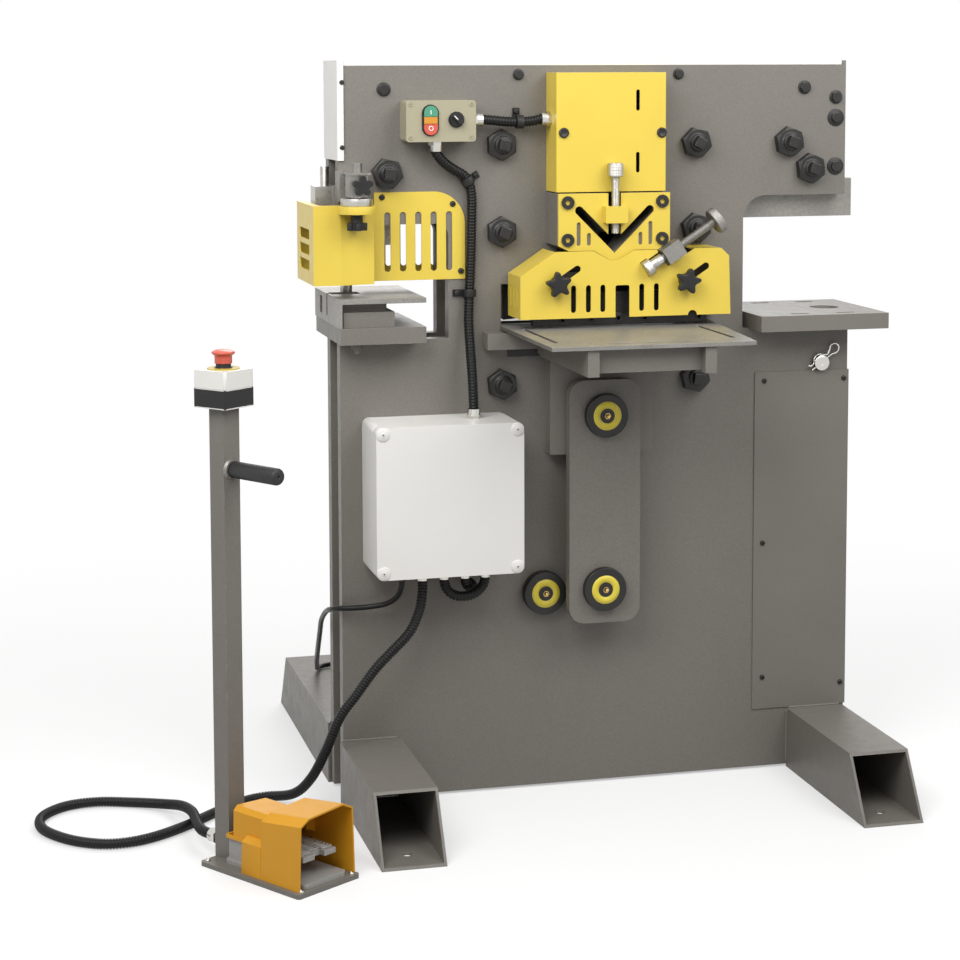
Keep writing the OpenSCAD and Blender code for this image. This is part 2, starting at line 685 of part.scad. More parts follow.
// Frame of the adjusting screw: origin at its pad, local Z along the screw
adjust_p = [66, -guard_face - 6, 997];
module on_adjuster() translate(adjust_p) rotate([0, 90 - guard_slope, 0]) children();
adjust_r = 8;
pad_r = 16;
pad_s = [-7, 8];     // knurled pad along the screw
collar_r = 10.5;
nut_s = [36, 74];    // nut block along the screw
module guard_adjuster() color(steel) on_adjuster() {
    translate([0, 0, pad_s[0]]) cylinder(r = pad_r, h = pad_s[1] - pad_s[0]);
    translate([0, 0, pad_s[1]]) cylinder(r = collar_r, h = 32 - pad_s[1]);
    translate([0, 0, 32]) cylinder(r = adjust_r, h = 118);
    translate([0, 0, 150]) cylinder(r = 25, h = 15);
}
stud_x = [-109, 140];
stud_z = 971.5;
stud_r = 6;
module screw_holders() color(yellow) {
    difference() {
        block([vee_x - 23, vee_x + 20], [hold_y - 17, -angle_face], [holder_z[0], holder_z[1]]);
        rod_z(vee_x, hold_y, holder_z[0] - 1, holder_z[1] + 1, hold_r + fit);
        block(notch_x, [hold_y, -angle_face + 1], [holder_z[0] - 1, holder_z[1] + 1]);
    }
    difference() {
        union() {
            on_adjuster() translate([-15.5, -15.5, nut_s[0]]) cube([31, 31, nut_s[1] - nut_s[0]]);
            rod_y(nut_p[0], nut_p[2], adjust_p[1], -outer, 12);
        }
        on_adjuster() translate([0, 0, nut_s[0] - 30]) cylinder(r = adjust_r + fit, h = 120);
    }
    for (x = stud_x) {
        rod_y(x, stud_z, -guard_face + sheet + 0.3, -outer, 11);
        rod_y(x, stud_z, -guard_face - 19, -guard_face + sheet + 0.3, stud_r);
    }
}
nut_mid = (nut_s[0] + nut_s[1]) / 2;
nut_p = adjust_p + nut_mid * [cos(guard_slope), 0, sin(guard_slope)];

// Yellow folded cover above the angle shear
top_cover_x = [-102, 108.5];
top_cover_z = [1137.6, top_z - 13.5];
top_cover_y = angle_face - 13.5;
module top_cover() color(yellow) difference() {
    block(top_cover_x, [-top_cover_y, -outer], top_cover_z);
    block([top_cover_x[0] + sheet, top_cover_x[1] - sheet], [-top_cover_y + sheet, -outer + 1],
        [top_cover_z[0] - 1, top_cover_z[1] - sheet]);
    xz(-top_cover_y - 1, -top_cover_y + sheet + 1) {
        slot([54.5, top_cover_z[1] - 67], [54.5, top_cover_z[1] - 35], 7);
        slot([54.5, top_cover_z[0] + 38], [54.5, top_cover_z[0] + 69], 7);
    }
}

// ---------------------------------------------------------------- flat shear

guard_low = 907;
guard_left = -177;
guard_right = 229.6;
module flat_outline(drop) polygon([[guard_left, guard_low - drop], [guard_left, 986],
    [-110, 1030], [-37, 1030], [-6, 1012.6], [11, 1012.6], [41, 1030], [84.5, 1030],
    [106, 999], [158.6, 1031.5], [211, 1030.5], [226, 1016],
    [guard_right + drop / 30, guard_low - drop]]);
flat_slots = [-76, -47.5, -19.7, 55.3, 83.8];
slope_dir = [cos(guard_slope), sin(guard_slope)];
module flat_guard() color(yellow) {
    y0 = -guard_face;
    difference() {
        xz(y0, y0 + sheet) difference() {
            flat_outline(0);
            for (x = flat_slots) slot([x, 922], [x, 963], 9.5);
            round_rect([4.6, 31.6], [guard_low - 20, 966], 4);
            translate([154.6, guard_low]) rotate(90) circle(9);
            for (x = stud_x) slot([x, stud_z] - 1 * slope_dir,
                [x, stud_z] + (guard_travel + 18) * slope_dir, 13);
        }
        on_adjuster() translate([-pad_r, -30, pad_s[0]])
            cube([2 * pad_r, 60, pad_s[1] - pad_s[0]]);
        on_adjuster() translate([-12, -30, 0]) cube([24, 60, 60]);
    }
    // Left side, sloped shoulder and right side, folded back to the plate
    back = -outer - 3;
    difference() {
        xz(y0, back) difference() {
            flat_outline(0);
            offset(delta = -sheet) flat_outline(20);
            rect([-110, 158.6], [980, 1040]);
        }
        for (y = [-135, -112, -89]) block([guard_left - 1, guard_left + 4], [y, y + 6],
            [guard_low + 22, 965]);
    }
}

module stud_knob(x) color(dark) translate([x, -guard_face - 1, stud_z]) rotate([90, 0, 0])
    star_knob(25, 14, 14, 10, stud_r + fit);
module star_knob_left() stud_knob(stud_x[0]);
module star_knob_right() stud_knob(stud_x[1]);

// Rail and yoke on the front plate, and the brackets under the feed table
rail_y = -outer - guide_t;
bracket_x = [-126, 88.5];
bracket_w = 20.5;
table_front = -417;
table_low = table_z - table_t;
module table_support() color(paint) {
    difference() {
        union() {
            block([-225, 112], [rail_y, -outer], [846.5, 877]);
            block([high_pin_x - 98, high_pin_x + 101], [rail_y, -outer], [646, 847]);
        }
        xz(rail_y - 1, -outer + 1) pin_slot(high_pin_x, high_pin_z, pin_r + slot_play);
    }
    block([-55, 40], [rail_y - 10, rail_y], [798, 808]);
    for (x = bracket_x) block([x, x + bracket_w], [table_front + 5, rail_y],
        [833, table_low]);
    block([bracket_x[0] + bracket_w, bracket_x[1]], [-392, -372], [837, table_low]);
}
module feed_table() color(steel) xy(table_low, table_z) difference() {
    polygon([[-192, -outer - 0.5], [-192, table_front], [181, table_front],
        [218, -outer - 0.5]]);
    slot([-165, -133], [-165, -348], 8);
    slot([160.5, -166], [160.5, -353], 8);
    slot([-80, -387], [66, -387], 6);
    for (x = [-113, 99]) translate([x, -373]) circle(4.5);
}

// ---------------------------------------------------------------- punch station

punch_x = left_x + punch_in;
bolster_x = [left_x - 10, throat_l - 56];
die_r = 30;
die_top = bed_z + holder_h + 5;
punch_low = stripper_z + 2;
module punch_bolster() color(paint) {
    difference() {
        block(bolster_x, [-bolster_w / 2, bolster_w / 2], [work_z, bed_z]);
        rod_z(punch_x, 0, work_z - 1, bed_z + 1, 20);
    }
    both_sides() {
        hex_z(punch_x, -100, work_z - 10, work_z, 19);
        rod_z(punch_x, -100, work_z - 18, work_z - 10, 5);
    }
}
holder_x = [left_x - 2, left_x + 93];
module die_set() color(steel) {
    difference() {
        block(holder_x, [-112, 60], [bed_z, bed_z + holder_h]);
        rod_z(punch_x, 0, bed_z - 1, bed_z + holder_h + 1, die_r);
    }
    difference() {
        rod_z(punch_x, 0, bed_z, die_top, die_r);
        rod_z(punch_x, 0, bed_z - 1, die_top + 1, punch_r + die_gap);
    }
    block([holder_x[0], holder_x[1] - 12], [-97, -60], [bed_z + holder_h, stripper_low]);
}
stripper_low = stripper_z - stripper_t;
module stripper() color(steel) {
    difference() {
        block([left_x - 6, throat_l - 56], [-125, 126], [stripper_low, stripper_z]);
        block([left_x - 13, punch_x + 24], [-20, 20], [stripper_low - 1, stripper_z + 1]);
    }
    difference() {
        block([left_x - 12, left_x - 6], [-125, 125], [bed_z, stripper_z]);
        block([left_x - 13, left_x - 5], [-6, 6], [stripper_z - 40, stripper_z + 1]);
        block([left_x - 13, left_x - 5], [48, 72], [bed_z + 12, stripper_low]);
    }
}
panel_x = [left_x + 65, throat_l + 31.5];
panel_z = [977, 1139.5];
module punch_panel() xz(-outer - sheet, -outer) difference() {
    union() {
        rect([panel_x[0], panel_x[1]], [panel_z[0], panel_z[1] - 60]);
        rect([panel_x[0], panel_x[1] - 60], panel_z);
        translate([panel_x[1] - 60, panel_z[1] - 60]) circle(60);
    }
    for (i = [0:4]) slot([panel_x[0] + 25 + 29 * i, 999], [panel_x[0] + 25 + 29 * i, 1097], 11.5);
}
module punch_panels() color(yellow) both_sides() punch_panel();

// Ram at the beam's left end, with the punch in its coupling nut
ram_low = 1040;
module punch_ram() color(steel) {
    block([left_x - 36, left_x - 5], [-24, 24], [ram_low, 1150]);
    block([left_x - 5, left_x + 112], [-28, 28], [ram_low, beam_left_low]);
    rod_z(left_x - 14, 0, 1150, 1186, 8);
    difference() {
        rod_z(punch_x, 0, 985, ram_low, 30);
        rod_z(punch_x, 0, 984, ram_low, 16);
    }
}
module punch() color(steel) {
    rod_z(punch_x, 0, 975, ram_low, 16);
    rod_z(punch_x, 0, punch_low, 975, punch_r);
}

// Swinging guard of the punch, hung on a post in a bracket on the front plate
post_p = [left_x + 17.7, -144];
post_z = [1120, 1134, 1176];    // disc bottom, disc top, top of the clamp
module guard_bracket() color(steel) difference() {
    union() {
        block([left_x - 6, left_x + 33], [-105, -outer], [1126, 1180]);
        block([left_x, left_x + 40], [post_p[1] - 20, -104], [post_z[2], 1180]);
        block([post_p[0] - 17, post_p[0] + 17], [post_p[1] - 17, post_p[1] + 17],
            [1137, post_z[2]]);
        hex_z(post_p[0], post_p[1], 1180, 1197, 19);
    }
    rod_z(post_p[0], post_p[1], 1100, post_z[2] - 2, post_r + fit);
    rod_y(post_p[0] + 6, 1157, post_p[1] - 18, post_p[1] - 4, 4);
}
module guard_post() color(steel) {
    rod_z(post_p[0], post_p[1], post_z[1], post_z[2] - 12, post_r);
    rod_z(post_p[0], post_p[1], post_z[0], post_z[1], 29);
    rod_z(post_p[0], post_p[1], 1083, post_z[0], 6);
}
tab_r = 34;
guard_z = [976, post_z[0]];
// Plan of the guard sheet, from the rear of its left face round to its right end
guard_plan = [[left_x - 58, 48], [left_x - 58, -126], [left_x - 8, -126], [left_x + 56, -111]];
module sheet_line(p, q) {
    v = unit(q - p);
    n = [-v[1], v[0]];
    polygon([p, q, q + sheet * n, p + sheet * n]);
}
module punch_guard() color(yellow) difference() {
    union() {
        xy(guard_z[0], guard_z[1]) {
            for (i = [0:2]) sheet_line(guard_plan[i], guard_plan[i + 1]);
        }
        xy(guard_z[1] - sheet, guard_z[1]) polygon([guard_plan[0], guard_plan[1], guard_plan[2],
            guard_plan[2] + [0, 14], guard_plan[1] + [14, 14], guard_plan[0] + [14, 0]]);
        xy(post_z[0] - 14, post_z[0]) difference() {
            translate(post_p) circle(tab_r);
            translate(post_p) circle(6 + fit);
            translate([left_x - 100, -109]) square([300, 60]);
        }
    }
    for (z = [1000, 1028, 1056]) yz(left_x - 60, left_x - 54)
        round_rect([-82, 20], [z, z + 19], 5);
}
module guard_knob() color(dark) translate([post_p[0], post_p[1], post_z[0] - 14.6])
    rotate([180, 0, 0]) star_knob(19, 14, 11, 15, 6 + fit);
module post_knob() color(dark) {
    translate([post_p[0] + 6, post_p[1] - 17, 1157]) rotate([90, 0, 0])
        star_knob(19, 12, 7, 6, 0);
    rod_y(post_p[0] + 6, 1157, post_p[1] - 17, post_p[1] - post_r - 1, 4 - fit);
}

// ---------------------------------------------------------------- tool station

tool_x = [throat_r + 12, throat_r + 12 + tool_len];
tool_mid = right_x - 13;
module tool_table() color(paint) xy(work_z, bed_z) difference() {
    rect(tool_x, [-tool_w / 2, tool_w / 2]);
    translate([tool_mid, 0]) circle(tool_hole_r);
    for (x = [tool_mid - tool_slot_dx, tool_mid], y = [-tool_slot_dy / 2, tool_slot_dy / 2]) {
        half = (tool_slot_len - tool_slot_w) / 2;
        slot([x - half, y], [x + half, y], tool_slot_w);
    }
}
panel_low = 119.5;
panel_high = 781.6;
module access_panel() color(paint) difference() {
    block([throat_r + 25.5, body_x + 2.5], [-outer - 2.5, outer + 2.5], [panel_low, panel_high]);
    block([throat_r, body_x], [-outer, outer], [panel_low - 1, panel_high + 1]);
    for (z = [barrel_low + 22, barrel_floor - 22])
        rod_y(rod_x_mid, z, outer - 1, outer + 4, 18);
}

// ---------------------------------------------------------------- electrics

station_x = [-380, -380 + station_w];
station_z = [top_z - 138, top_z - 138 + station_h];
station_y = -outer - station_d;
push_p = [station_x[0] + 44.6, (station_z[0] + station_z[1]) / 2 + 1.8];
turn_p = [station_x[0] + 92.8, push_p[1] + 1];
button_dz = 16;
module control_station() color(beige) {
    difference() {
        union() {
            xz(station_y, -outer) round_rect(station_x, station_z, 6);
            xz(station_y - 3, station_y) difference() {
                slot(push_p - [0, 13], push_p + [0, 13], 31);
                slot(push_p - [0, 14], push_p + [0, 14], 25.8);
            }
            rod_y(turn_p[0], turn_p[1], station_y - 4, station_y, 14.5);
        }
        for (s = [-1, 1]) rod_y(push_p[0], push_p[1] + s * button_dz, station_y - 4,
            station_y + 10, 9.5);
        rod_y(turn_p[0], turn_p[1], station_y - 5, station_y + 8, 10);
    }
    xz(station_y - 6, station_y)
        rect([push_p[0] - 12.4, push_p[0] + 12.4], [push_p[1] - 6.2, push_p[1] + 6.2]);
}
// Plunger with a half-round cap
module push_button(s) {
    rod_y(push_p[0], push_p[1] + s * button_dz, station_y - 6, station_y + 6, 9.5 - slide_gap);
    xz(station_y - 6.5, station_y - button_travel - 0.4) difference() {
        slot([push_p[0], push_p[1] - 14], [push_p[0], push_p[1] + 14], 25);
        rect([push_p[0] - 14, push_p[0] + 14], [push_p[1] + (s > 0 ? -30 : -7),
            push_p[1] + (s > 0 ? 7 : 30)]);
    }
}
module start_button() color([0.1, 0.5, 0.2]) push_button(1);
module stop_button() color([0.8, 0.1, 0.1]) push_button(-1);
module selector_switch() color(dark) {
    rod_y(turn_p[0], turn_p[1], station_y - 5, station_y + 8, 10 - fit);
    rod_y(turn_p[0], turn_p[1], station_y - 8, station_y - 4, 12.5);
    translate([turn_p[0], 0, turn_p[1]]) rotate([0, -45, 0])
        xz(station_y - 16, station_y - 7) slot([0, -8], [0, 8], 7);
}

box_x = [left_x + 40, left_x + 40 + box_w];
box_z = [447, 447 + box_h];
box_front = -outer - box_d;
lid_t = 25;
module enclosure_body() color(white) difference() {
    xz(box_front + lid_t, -outer) round_rect(box_x, box_z, 12);
    xz(box_front + lid_t - 1, -outer - 4) difference() {
        round_rect([box_x[0] + 4, box_x[1] - 4], [box_z[0] + 4, box_z[1] - 4], 10);
        for (x = [box_x[0] + 12.5, box_x[1] - 12.5], z = [box_z[0] + 12.5, box_z[1] - 12.5])
            translate([x, z]) circle(12.5);
    }
}
module enclosure_lid() color(white) difference() {
    xz(box_front, box_front + lid_t) round_rect(box_x, box_z, 12);
    for (x = [box_x[0] + 12.5, box_x[1] - 12.5], z = [box_z[0] + 12.5, box_z[1] - 12.5])
        rod_y(x, z, box_front - 1, box_front + 3, 6);
}

// Gland: hexagon on the wall and a round nut whose bore the conduit enters
module gland(d) difference() {
    union() {
        cylinder(r = d / 2 + 4.5, h = 7, $fn = 6);
        cylinder(r = d / 2 + 2.5, h = 18);
    }
    translate([0, 0, 7]) cylinder(r = d / 2 + 0.8, h = 12);
}
module gland_z(x, y, z, sign, d) translate([x, y, z]) scale([1, 1, sign]) gland(d);
module gland_x(x, y, z, sign, d) translate([x, y, z]) scale([sign, 1, 1]) rotate([0, 90, 0])
    gland(d);
gland_y = -125;
gland_xs = [-356, -315.5, -275.6, -237.5];   // under the enclosure
drop_x = -258;                               // vertical conduit
// Clips that hold the conduits on the plate: [centre of the conduit, direction, screw distance]
clips = [[[-255.6, -76, 1158.5], 30, 19], [[-253, -75, 951], 180, 22.4],
    [[-161, -90.5, 1266.5], 90, 18.5]];
module clip(p, direction, reach) {
    r = conduit_d / 2;
    back = p[1] + outer;
    translate(p) rotate([90, 0, 0]) rotate(direction) {
        difference() {
            union() {
                rod_y(0, 0, -6.5, 6.5, r + 3);
                block([0, r + 3], [-6.5, 6.5], [back, 0]);
            }
            rod_y(0, 0, -7, 7, r + 1.2);
            block([-r - 5, r + 5], [-7, 7], [back - 9, back]);
        }
        block([r + 1, reach + 7], [-6.5, 6.5], [back, back + 2.5]);
        translate([reach, 0, back + 2.5]) cylinder(r = 5, h = 4);
    }
}
module cable_fittings() color(dark) {
    for (c = clips) clip(c[0], c[1], c[2]);
    gland_z(-395, gland_y, box_z[0], -1, cable_d);
    gland_z(motor_gland[0], motor_gland[1], motor_gland[2], -1, cable_d);
    for (x = gland_xs) gland_z(x, gland_y, box_z[0], -1, conduit_d);
    gland_z(drop_x, gland_y, box_z[1], 1, conduit_d);
    gland_z(station_x[0] + 61, -91, station_z[0], -1, conduit_d);
    gland_x(station_x[1], -91, push_p[1], 1, conduit_d);
    gland_x(top_cover_x[0], -91, push_p[1], -1, conduit_d);
    at_pedal() {
        rod_x(pedal_post[0] - post_half - 12, pedal_post[0] - post_half, pedal_post[1], 34.5, 8);
        gland_x(pedal_post[0] - post_half - 12, pedal_post[1], 34.5, -1, conduit_d);
    }
}

// Places of the power unit behind the frame
tank_x = [-220, 220];
tank_y = [190, 500];
tank_z = [foot_h + 12, foot_h + 262];
lid_z = tank_z[1] + 8;            // top of the tank's lid
motor_p = [-70, 345];
valve_p = [120, 300];
terminal_x = [motor_p[0] - 150, motor_p[0] - 70];
motor_gland = [terminal_x[0] + 40, motor_p[1], lid_z + 110];   // under the terminal box

// Routes of the conduits, from gland to gland
station_top = [[station_x[1] + 7, -91, push_p[1]], [station_x[1] + 19, -91, push_p[1]],
    [-215, -91, 1270], [-190, -91, 1267.5], [-161, -90.5, 1266.5], [-135, -91, 1268],
    [top_cover_x[0] - 19, -91, push_p[1]], [top_cover_x[0] - 7, -91, push_p[1]]];
station_down = [[-319, -91, station_z[0] - 7], [-319, -91, station_z[0] - 19],
    [-312, -89, 1203], [-299, -85.5, 1190.4], [-281, -81, 1179], [-262, -77, 1167.5],
    [-252, -75, 1151], [-248, -74.5, 1128], [-248.5, -74.5, 1085], [-250, -74.5, 1020],
    [-253, -75, 951], [-257, -84, 900], [-257.5, -98, 850], [-258, -115, 800],
    [drop_x, gland_y, box_z[1] + 21], [drop_x, gland_y, box_z[1] + 7]];
loop_a = [[gland_xs[1], gland_y, box_z[0] - 7], [gland_xs[1], gland_y, box_z[0] - 19],
    [-312, -128, 412], [-300, -133, 400], [-281, -135, 396], [-260, -134, 400],
    [-243, -129, 413], [gland_xs[3], gland_y, box_z[0] - 19],
    [gland_xs[3], gland_y, box_z[0] - 7]];
loop_b = [[gland_xs[2], gland_y, box_z[0] - 7], [gland_xs[2], gland_y, box_z[0] - 19],
    [-270, -118, 413], [-260, -102, 405.5], [-252, -84, 404], [-252, -outer, 404]];
module conduits() color(dark) {
    cord(station_top, conduit_d, 1, 10, [0, 1, 0]);
    cord(station_down, conduit_d, 1, 10, [0, 1, 0]);
    cord(loop_a, conduit_d, 1, 10, [0, 1, 0]);
    cord(loop_b, conduit_d, 1, 10, [0, 1, 0]);
}
pedal_route = [[gland_xs[0], gland_y, box_z[0] - 7], [gland_xs[0], gland_y, box_z[0] - 19],
    [-358, -129, 400], [-366, -135, 370],
    [-385, -140, 335], [-420, -140, 300], [-450, -140, 270], [-485, -140, 225],
    [-515, -138, 185], [-540, -125, 120], [-562, -95, 62], [-590, -60, 24],
    [-640, -22, 10], [-690, -45, 10], [-742, -91, 10], [-800, -148, 10], [-860, -192, 10],
    [-910, -210, 10], [-960, -204, 10], [-1012, -165, 10], [-1050, -100, 10],
    [-1048, -35, 10], [-1005, 15, 10], [-945, 28, 10], [-880, 8, 10], [-824, -32, 15],
    [-799, -80, 25], [-787, -132, 30.5], [-785, -180, 30], [-785, -222, 32],
    [-781, -250, 33], [-770, -274.7, 34.5], [-763.4, -284.7, 34.5]];
module pedal_conduit() color(dark) cord(pedal_route, conduit_d, 1, 10, [0, 1, 0]);
motor_route = [[-395, gland_y, box_z[0] - 7], [-395, gland_y, box_z[0] - 19],
    [-396, -123, 415], [-402, -112, 396], [-420, -100, 382], [-450, -90, 376],
    [-480, -84, 374], [-505, -72, 372], [-514, -50, 366], [-514, 0, 350], [-512, 60, 320],
    [-505, 120, 280], [-495, 200, 228], [-480, 300, 178], [-467, 370, 146],
    [-456, 430, 126], [-440, 455, 123.5], [-412, 460, 124], [-376, 455, 123],
    [-342, 438, 108], [-304, 424, 112], [-270, 402, 146], [-250, 374, 196],
    [-242, 352, 262], [-240, 345, 330], [-238, 345, 400], [-222, 345, 440],
    [-196, 345, 464], [motor_gland[0], motor_gland[1], motor_gland[2] - 19],
    [motor_gland[0], motor_gland[1], motor_gland[2] - 7]];
module motor_cable() color(dark) cord(motor_route, cable_d, 1, 8, [0, 1, 0]);

// ---------------------------------------------------------------- pedal station

pedal_c = [left_x - 172, -396];
pedal_turn = -56.5;
module at_pedal() translate([pedal_c[0], pedal_c[1], 0]) rotate(pedal_turn) children();
pedal_post = [-109, -19];
post_half = 18;
pedal_base_t = 8;
post_top = 794;
module pedal_base() color(paint) at_pedal() {
    xy(0, pedal_base_t) round_rect([-127, 121], [-72, 70], 6);
    difference() {
        block([pedal_post[0] - post_half, pedal_post[0] + post_half],
            [pedal_post[1] - post_half, pedal_post[1] + post_half], [pedal_base_t, post_top]);
        block([pedal_post[0] - post_half + 2, pedal_post[0] + post_half - 2],
            [pedal_post[1] - post_half + 2, pedal_post[1] + post_half - 2],
            [pedal_base_t + 2, post_top - 2]);
    }
    rod_x(pedal_post[0] + post_half, pedal_post[0] + post_half + 5, pedal_post[1], 688, 17);
    rod_x(pedal_post[0] + post_half + 5, pedal_post[0] + 132, pedal_post[1], 688, 9);
}
module pedal_grip() color(dark) at_pedal() difference() {
    rod_x(pedal_post[0] + post_half + 5, pedal_post[0] + 136, pedal_post[1], 688, 14.5);
    rod_x(pedal_post[0] + post_half + 4, pedal_post[0] + 132, pedal_post[1], 688, 9);
}
estop_half = 36.4;            // lid; the base under it is 0.5 mm smaller all round
estop_z = [post_top, post_top + 34, post_top + 64.5];
module at_estop() at_pedal() translate([pedal_post[0], pedal_post[1], 0]) rotate(6) children();
module estop_box() color(white) at_estop() {
    xy(estop_z[0], estop_z[1]) round_rect([0.5 - estop_half, estop_half - 0.5],
        [0.5 - estop_half, estop_half - 0.5], 4.5);
    xy(estop_z[1], estop_z[2]) difference() {
        round_rect([-estop_half, estop_half], [-estop_half, estop_half], 5);
        circle(9);
    }
    xy(estop_z[2], estop_z[2] + 2) difference() {
        circle(28);
        circle(14);
    }
    xy(estop_z[2], estop_z[2] + 3.5) difference() {
        circle(15.5);
        circle(9);
    }
    xy(estop_z[2], estop_z[2] + 22 - estop_travel) difference() {
        circle(13);
        circle(9);
    }
}
// Mushroom whose skirt slides over the collar of the box
module estop_button() color([0.85, 0.1, 0.08]) at_estop() translate([0, 0, estop_z[2]]) {
    translate([0, 0, -24]) cylinder(r = 9 - fit, h = 24 + 26);
    xy(9.5, 24) difference() {
        circle(15);
        circle(13.5);
    }
    translate([0, 0, 22.5]) cylinder(r1 = 15, r2 = mushroom_r, h = 4);
    translate([0, 0, 26.5]) cylinder(r = mushroom_r, h = 2.5);
    translate([0, 0, 29]) cylinder(r1 = mushroom_r, r2 = mushroom_r - 7, h = 3.5);
}
house_z = [54, 60, 112];     // lip and top of the rear housing
treadle_axis = [-15, 52];    // local x and height of the treadle's hinge
module pedal_frame() color([0.35, 0.36, 0.38]) at_pedal() {
    xy(pedal_base_t, pedal_base_t + 8) round_rect([-90, 111], [-49, 49], 9);
    block([-82, -34], [-45, 45], [pedal_base_t + 8, house_z[0]]);
    for (s = [-1, 1]) block([-25, -5], [s * 44 - 4, s * 44 + 4],
        [pedal_base_t + 8, 62]);
    rod_y(treadle_axis[0], treadle_axis[1], -48, 48, 4);
}
module treadle() color([0.45, 0.46, 0.48]) at_pedal() difference() {
    union() {
        block([treadle_axis[0], 96], [-38, 38], [47, 57]);
        rod_y(treadle_axis[0], treadle_axis[1], -38, 38, 9);
        for (i = [0:9]) block([14 + 8 * i, 18 + 8 * i], [-36, 36], [57, 60]);
    }
    rod_y(treadle_axis[0], treadle_axis[1], -39, 39, 4 + fit);
}
shell_t = 3;
// Sections across the pedal: the hood over the foot, the skirt beside the housing, the housing
hood_x = [17, 113];
hood_tilt = 6.5;             // slope of the hood's top, down to the rear
module hood(inset) translate([hood_x[1], 0, 0]) rotate([0, -hood_tilt, 0]) yz(-120, 30)
    offset(delta = -inset) polygon([[-65, -25], [-60, 117], [-40, 128], [40, 134], [62, 123],
        [67, -25]]);
module skirt_section() polygon([[-64, pedal_base_t], [-62, 62], [-50, 70], [50, 70], [64, 62],
    [67, pedal_base_t]]);
module house_section() polygon([[-47, house_z[1]], [-46, house_z[2] - 8], [-38, house_z[2]],
    [28, house_z[2] - 4], [40, house_z[2] - 14], [47, house_z[1]]]);
module pedal_guard() color(orange) at_pedal() difference() {
    union() {
        difference() {
            hood(0);
            block([hood_x[0] - 80, hood_x[0]], [-80, 80], [-60, 160]);
            block([hood_x[1], hood_x[1] + 60], [-80, 80], [-60, 160]);
            block([hood_x[0] - 1, hood_x[1] + 1], [-80, 80], [-60, pedal_base_t]);
        }
        yz(-30, 17) skirt_section();
        yz(-68, 17) house_section();
        xy(house_z[0], house_z[1]) round_rect([-86, 0], [-50, 50], 4);
    }
    difference() {
        hood(shell_t);
        block([hood_x[0] - 80, hood_x[0] + shell_t], [-80, 80], [-60, 160]);
    }
    yz(-30 + shell_t, 18 + shell_t) offset(delta = -shell_t) skirt_section();
    yz(-68 + shell_t, 18 + shell_t) offset(delta = -shell_t) house_section();
    block([-27, hood_x[0] + 4], [-61, 64], [pedal_base_t - 1, pedal_base_t + shell_t + 0.1]);
    block([-82, -26], [-46, 46], [house_z[0] - 1, house_z[1] + shell_t + 0.1]);
    block([-31, -26], [-50, 50], [pedal_base_t - 1, house_z[0] + 0.1]);
}

// ---------------------------------------------------------------- power unit behind the frame

module oil_tank() color(paint) {
    for (y = [tank_y[0] + 20, tank_y[1] - 160]) block([foot_x[0] + 76, foot_x[1] + foot_w - 76],
        [y, y + 50], [foot_h, tank_z[0]]);
    difference() {
        block(tank_x, tank_y, tank_z);
        block([tank_x[0] + 4, tank_x[1] - 4], [tank_y[0] + 4, tank_y[1] - 4],
            [tank_z[0] + 4, tank_z[1] - 1]);
    }
    block([tank_x[0] - 8, tank_x[1] + 8], [tank_y[0] - 8, tank_y[1] + 8],
        [tank_z[1], tank_z[1] + 8]);
    rod_z(tank_x[1] - 50, tank_y[1] - 50, tank_z[1] + 8, tank_z[1] + 30, 22);
}
module pump_motor() color([0.25, 0.30, 0.36]) {
    rod_z(motor_p[0], motor_p[1], lid_z, lid_z + 14, 100);
    rod_z(motor_p[0], motor_p[1], lid_z + 14, lid_z + 60, 92);
    rod_z(motor_p[0], motor_p[1], lid_z + 60, lid_z + 74, 100);
    for (i = [0:23]) translate([motor_p[0], motor_p[1], lid_z + 74]) rotate(15 * i)
        translate([70, -2, 0]) cube([16, 4, 180]);
    rod_z(motor_p[0], motor_p[1], lid_z + 74, lid_z + 254, 72);
    rod_z(motor_p[0], motor_p[1], lid_z + 254, lid_z + 310, 88);
    block(terminal_x, [motor_p[1] - 45, motor_p[1] + 45],
        [motor_gland[2], motor_gland[2] + 90]);
}
module valve_block() color(steel) {
    block([valve_p[0] - 45, valve_p[0] + 45], [valve_p[1] - 40, valve_p[1] + 40],
        [lid_z, lid_z + 90]);
    block([valve_p[0] - 35, valve_p[0] + 35], [valve_p[1] - 25, valve_p[1] + 25],
        [lid_z + 90, lid_z + 140]);
    rod_x(valve_p[0] + 35, valve_p[0] + 85, valve_p[1], lid_z + 115, 20);
}
hose_d = 20;
hose_high = [[rod_x_mid, barrel_r + 14, barrel_floor - 22],
    [rod_x_mid, barrel_r + 34, barrel_floor - 22], [446, 120, 712], [430, 170, 690],
    [390, 240, 620], [320, 290, 530], [250, 300, 466], [valve_p[0] + 65, 300, lid_z + 60],
    [valve_p[0] + 45, 300, lid_z + 60]];
hose_low = [[rod_x_mid, barrel_r + 14, barrel_low + 22],
    [rod_x_mid, barrel_r + 34, barrel_low + 22], [446, 115, 530], [430, 160, 510],
    [380, 220, 470], [310, 270, 430], [240, 280, 416], [valve_p[0] + 65, 280, lid_z + 25],
    [valve_p[0] + 45, 280, lid_z + 25]];
module oil_hoses() color(dark) {
    cord(hose_high, hose_d, 1, 10, [0, 0, 1]);
    cord(hose_low, hose_d, 1, 10, [0, 0, 1]);
}

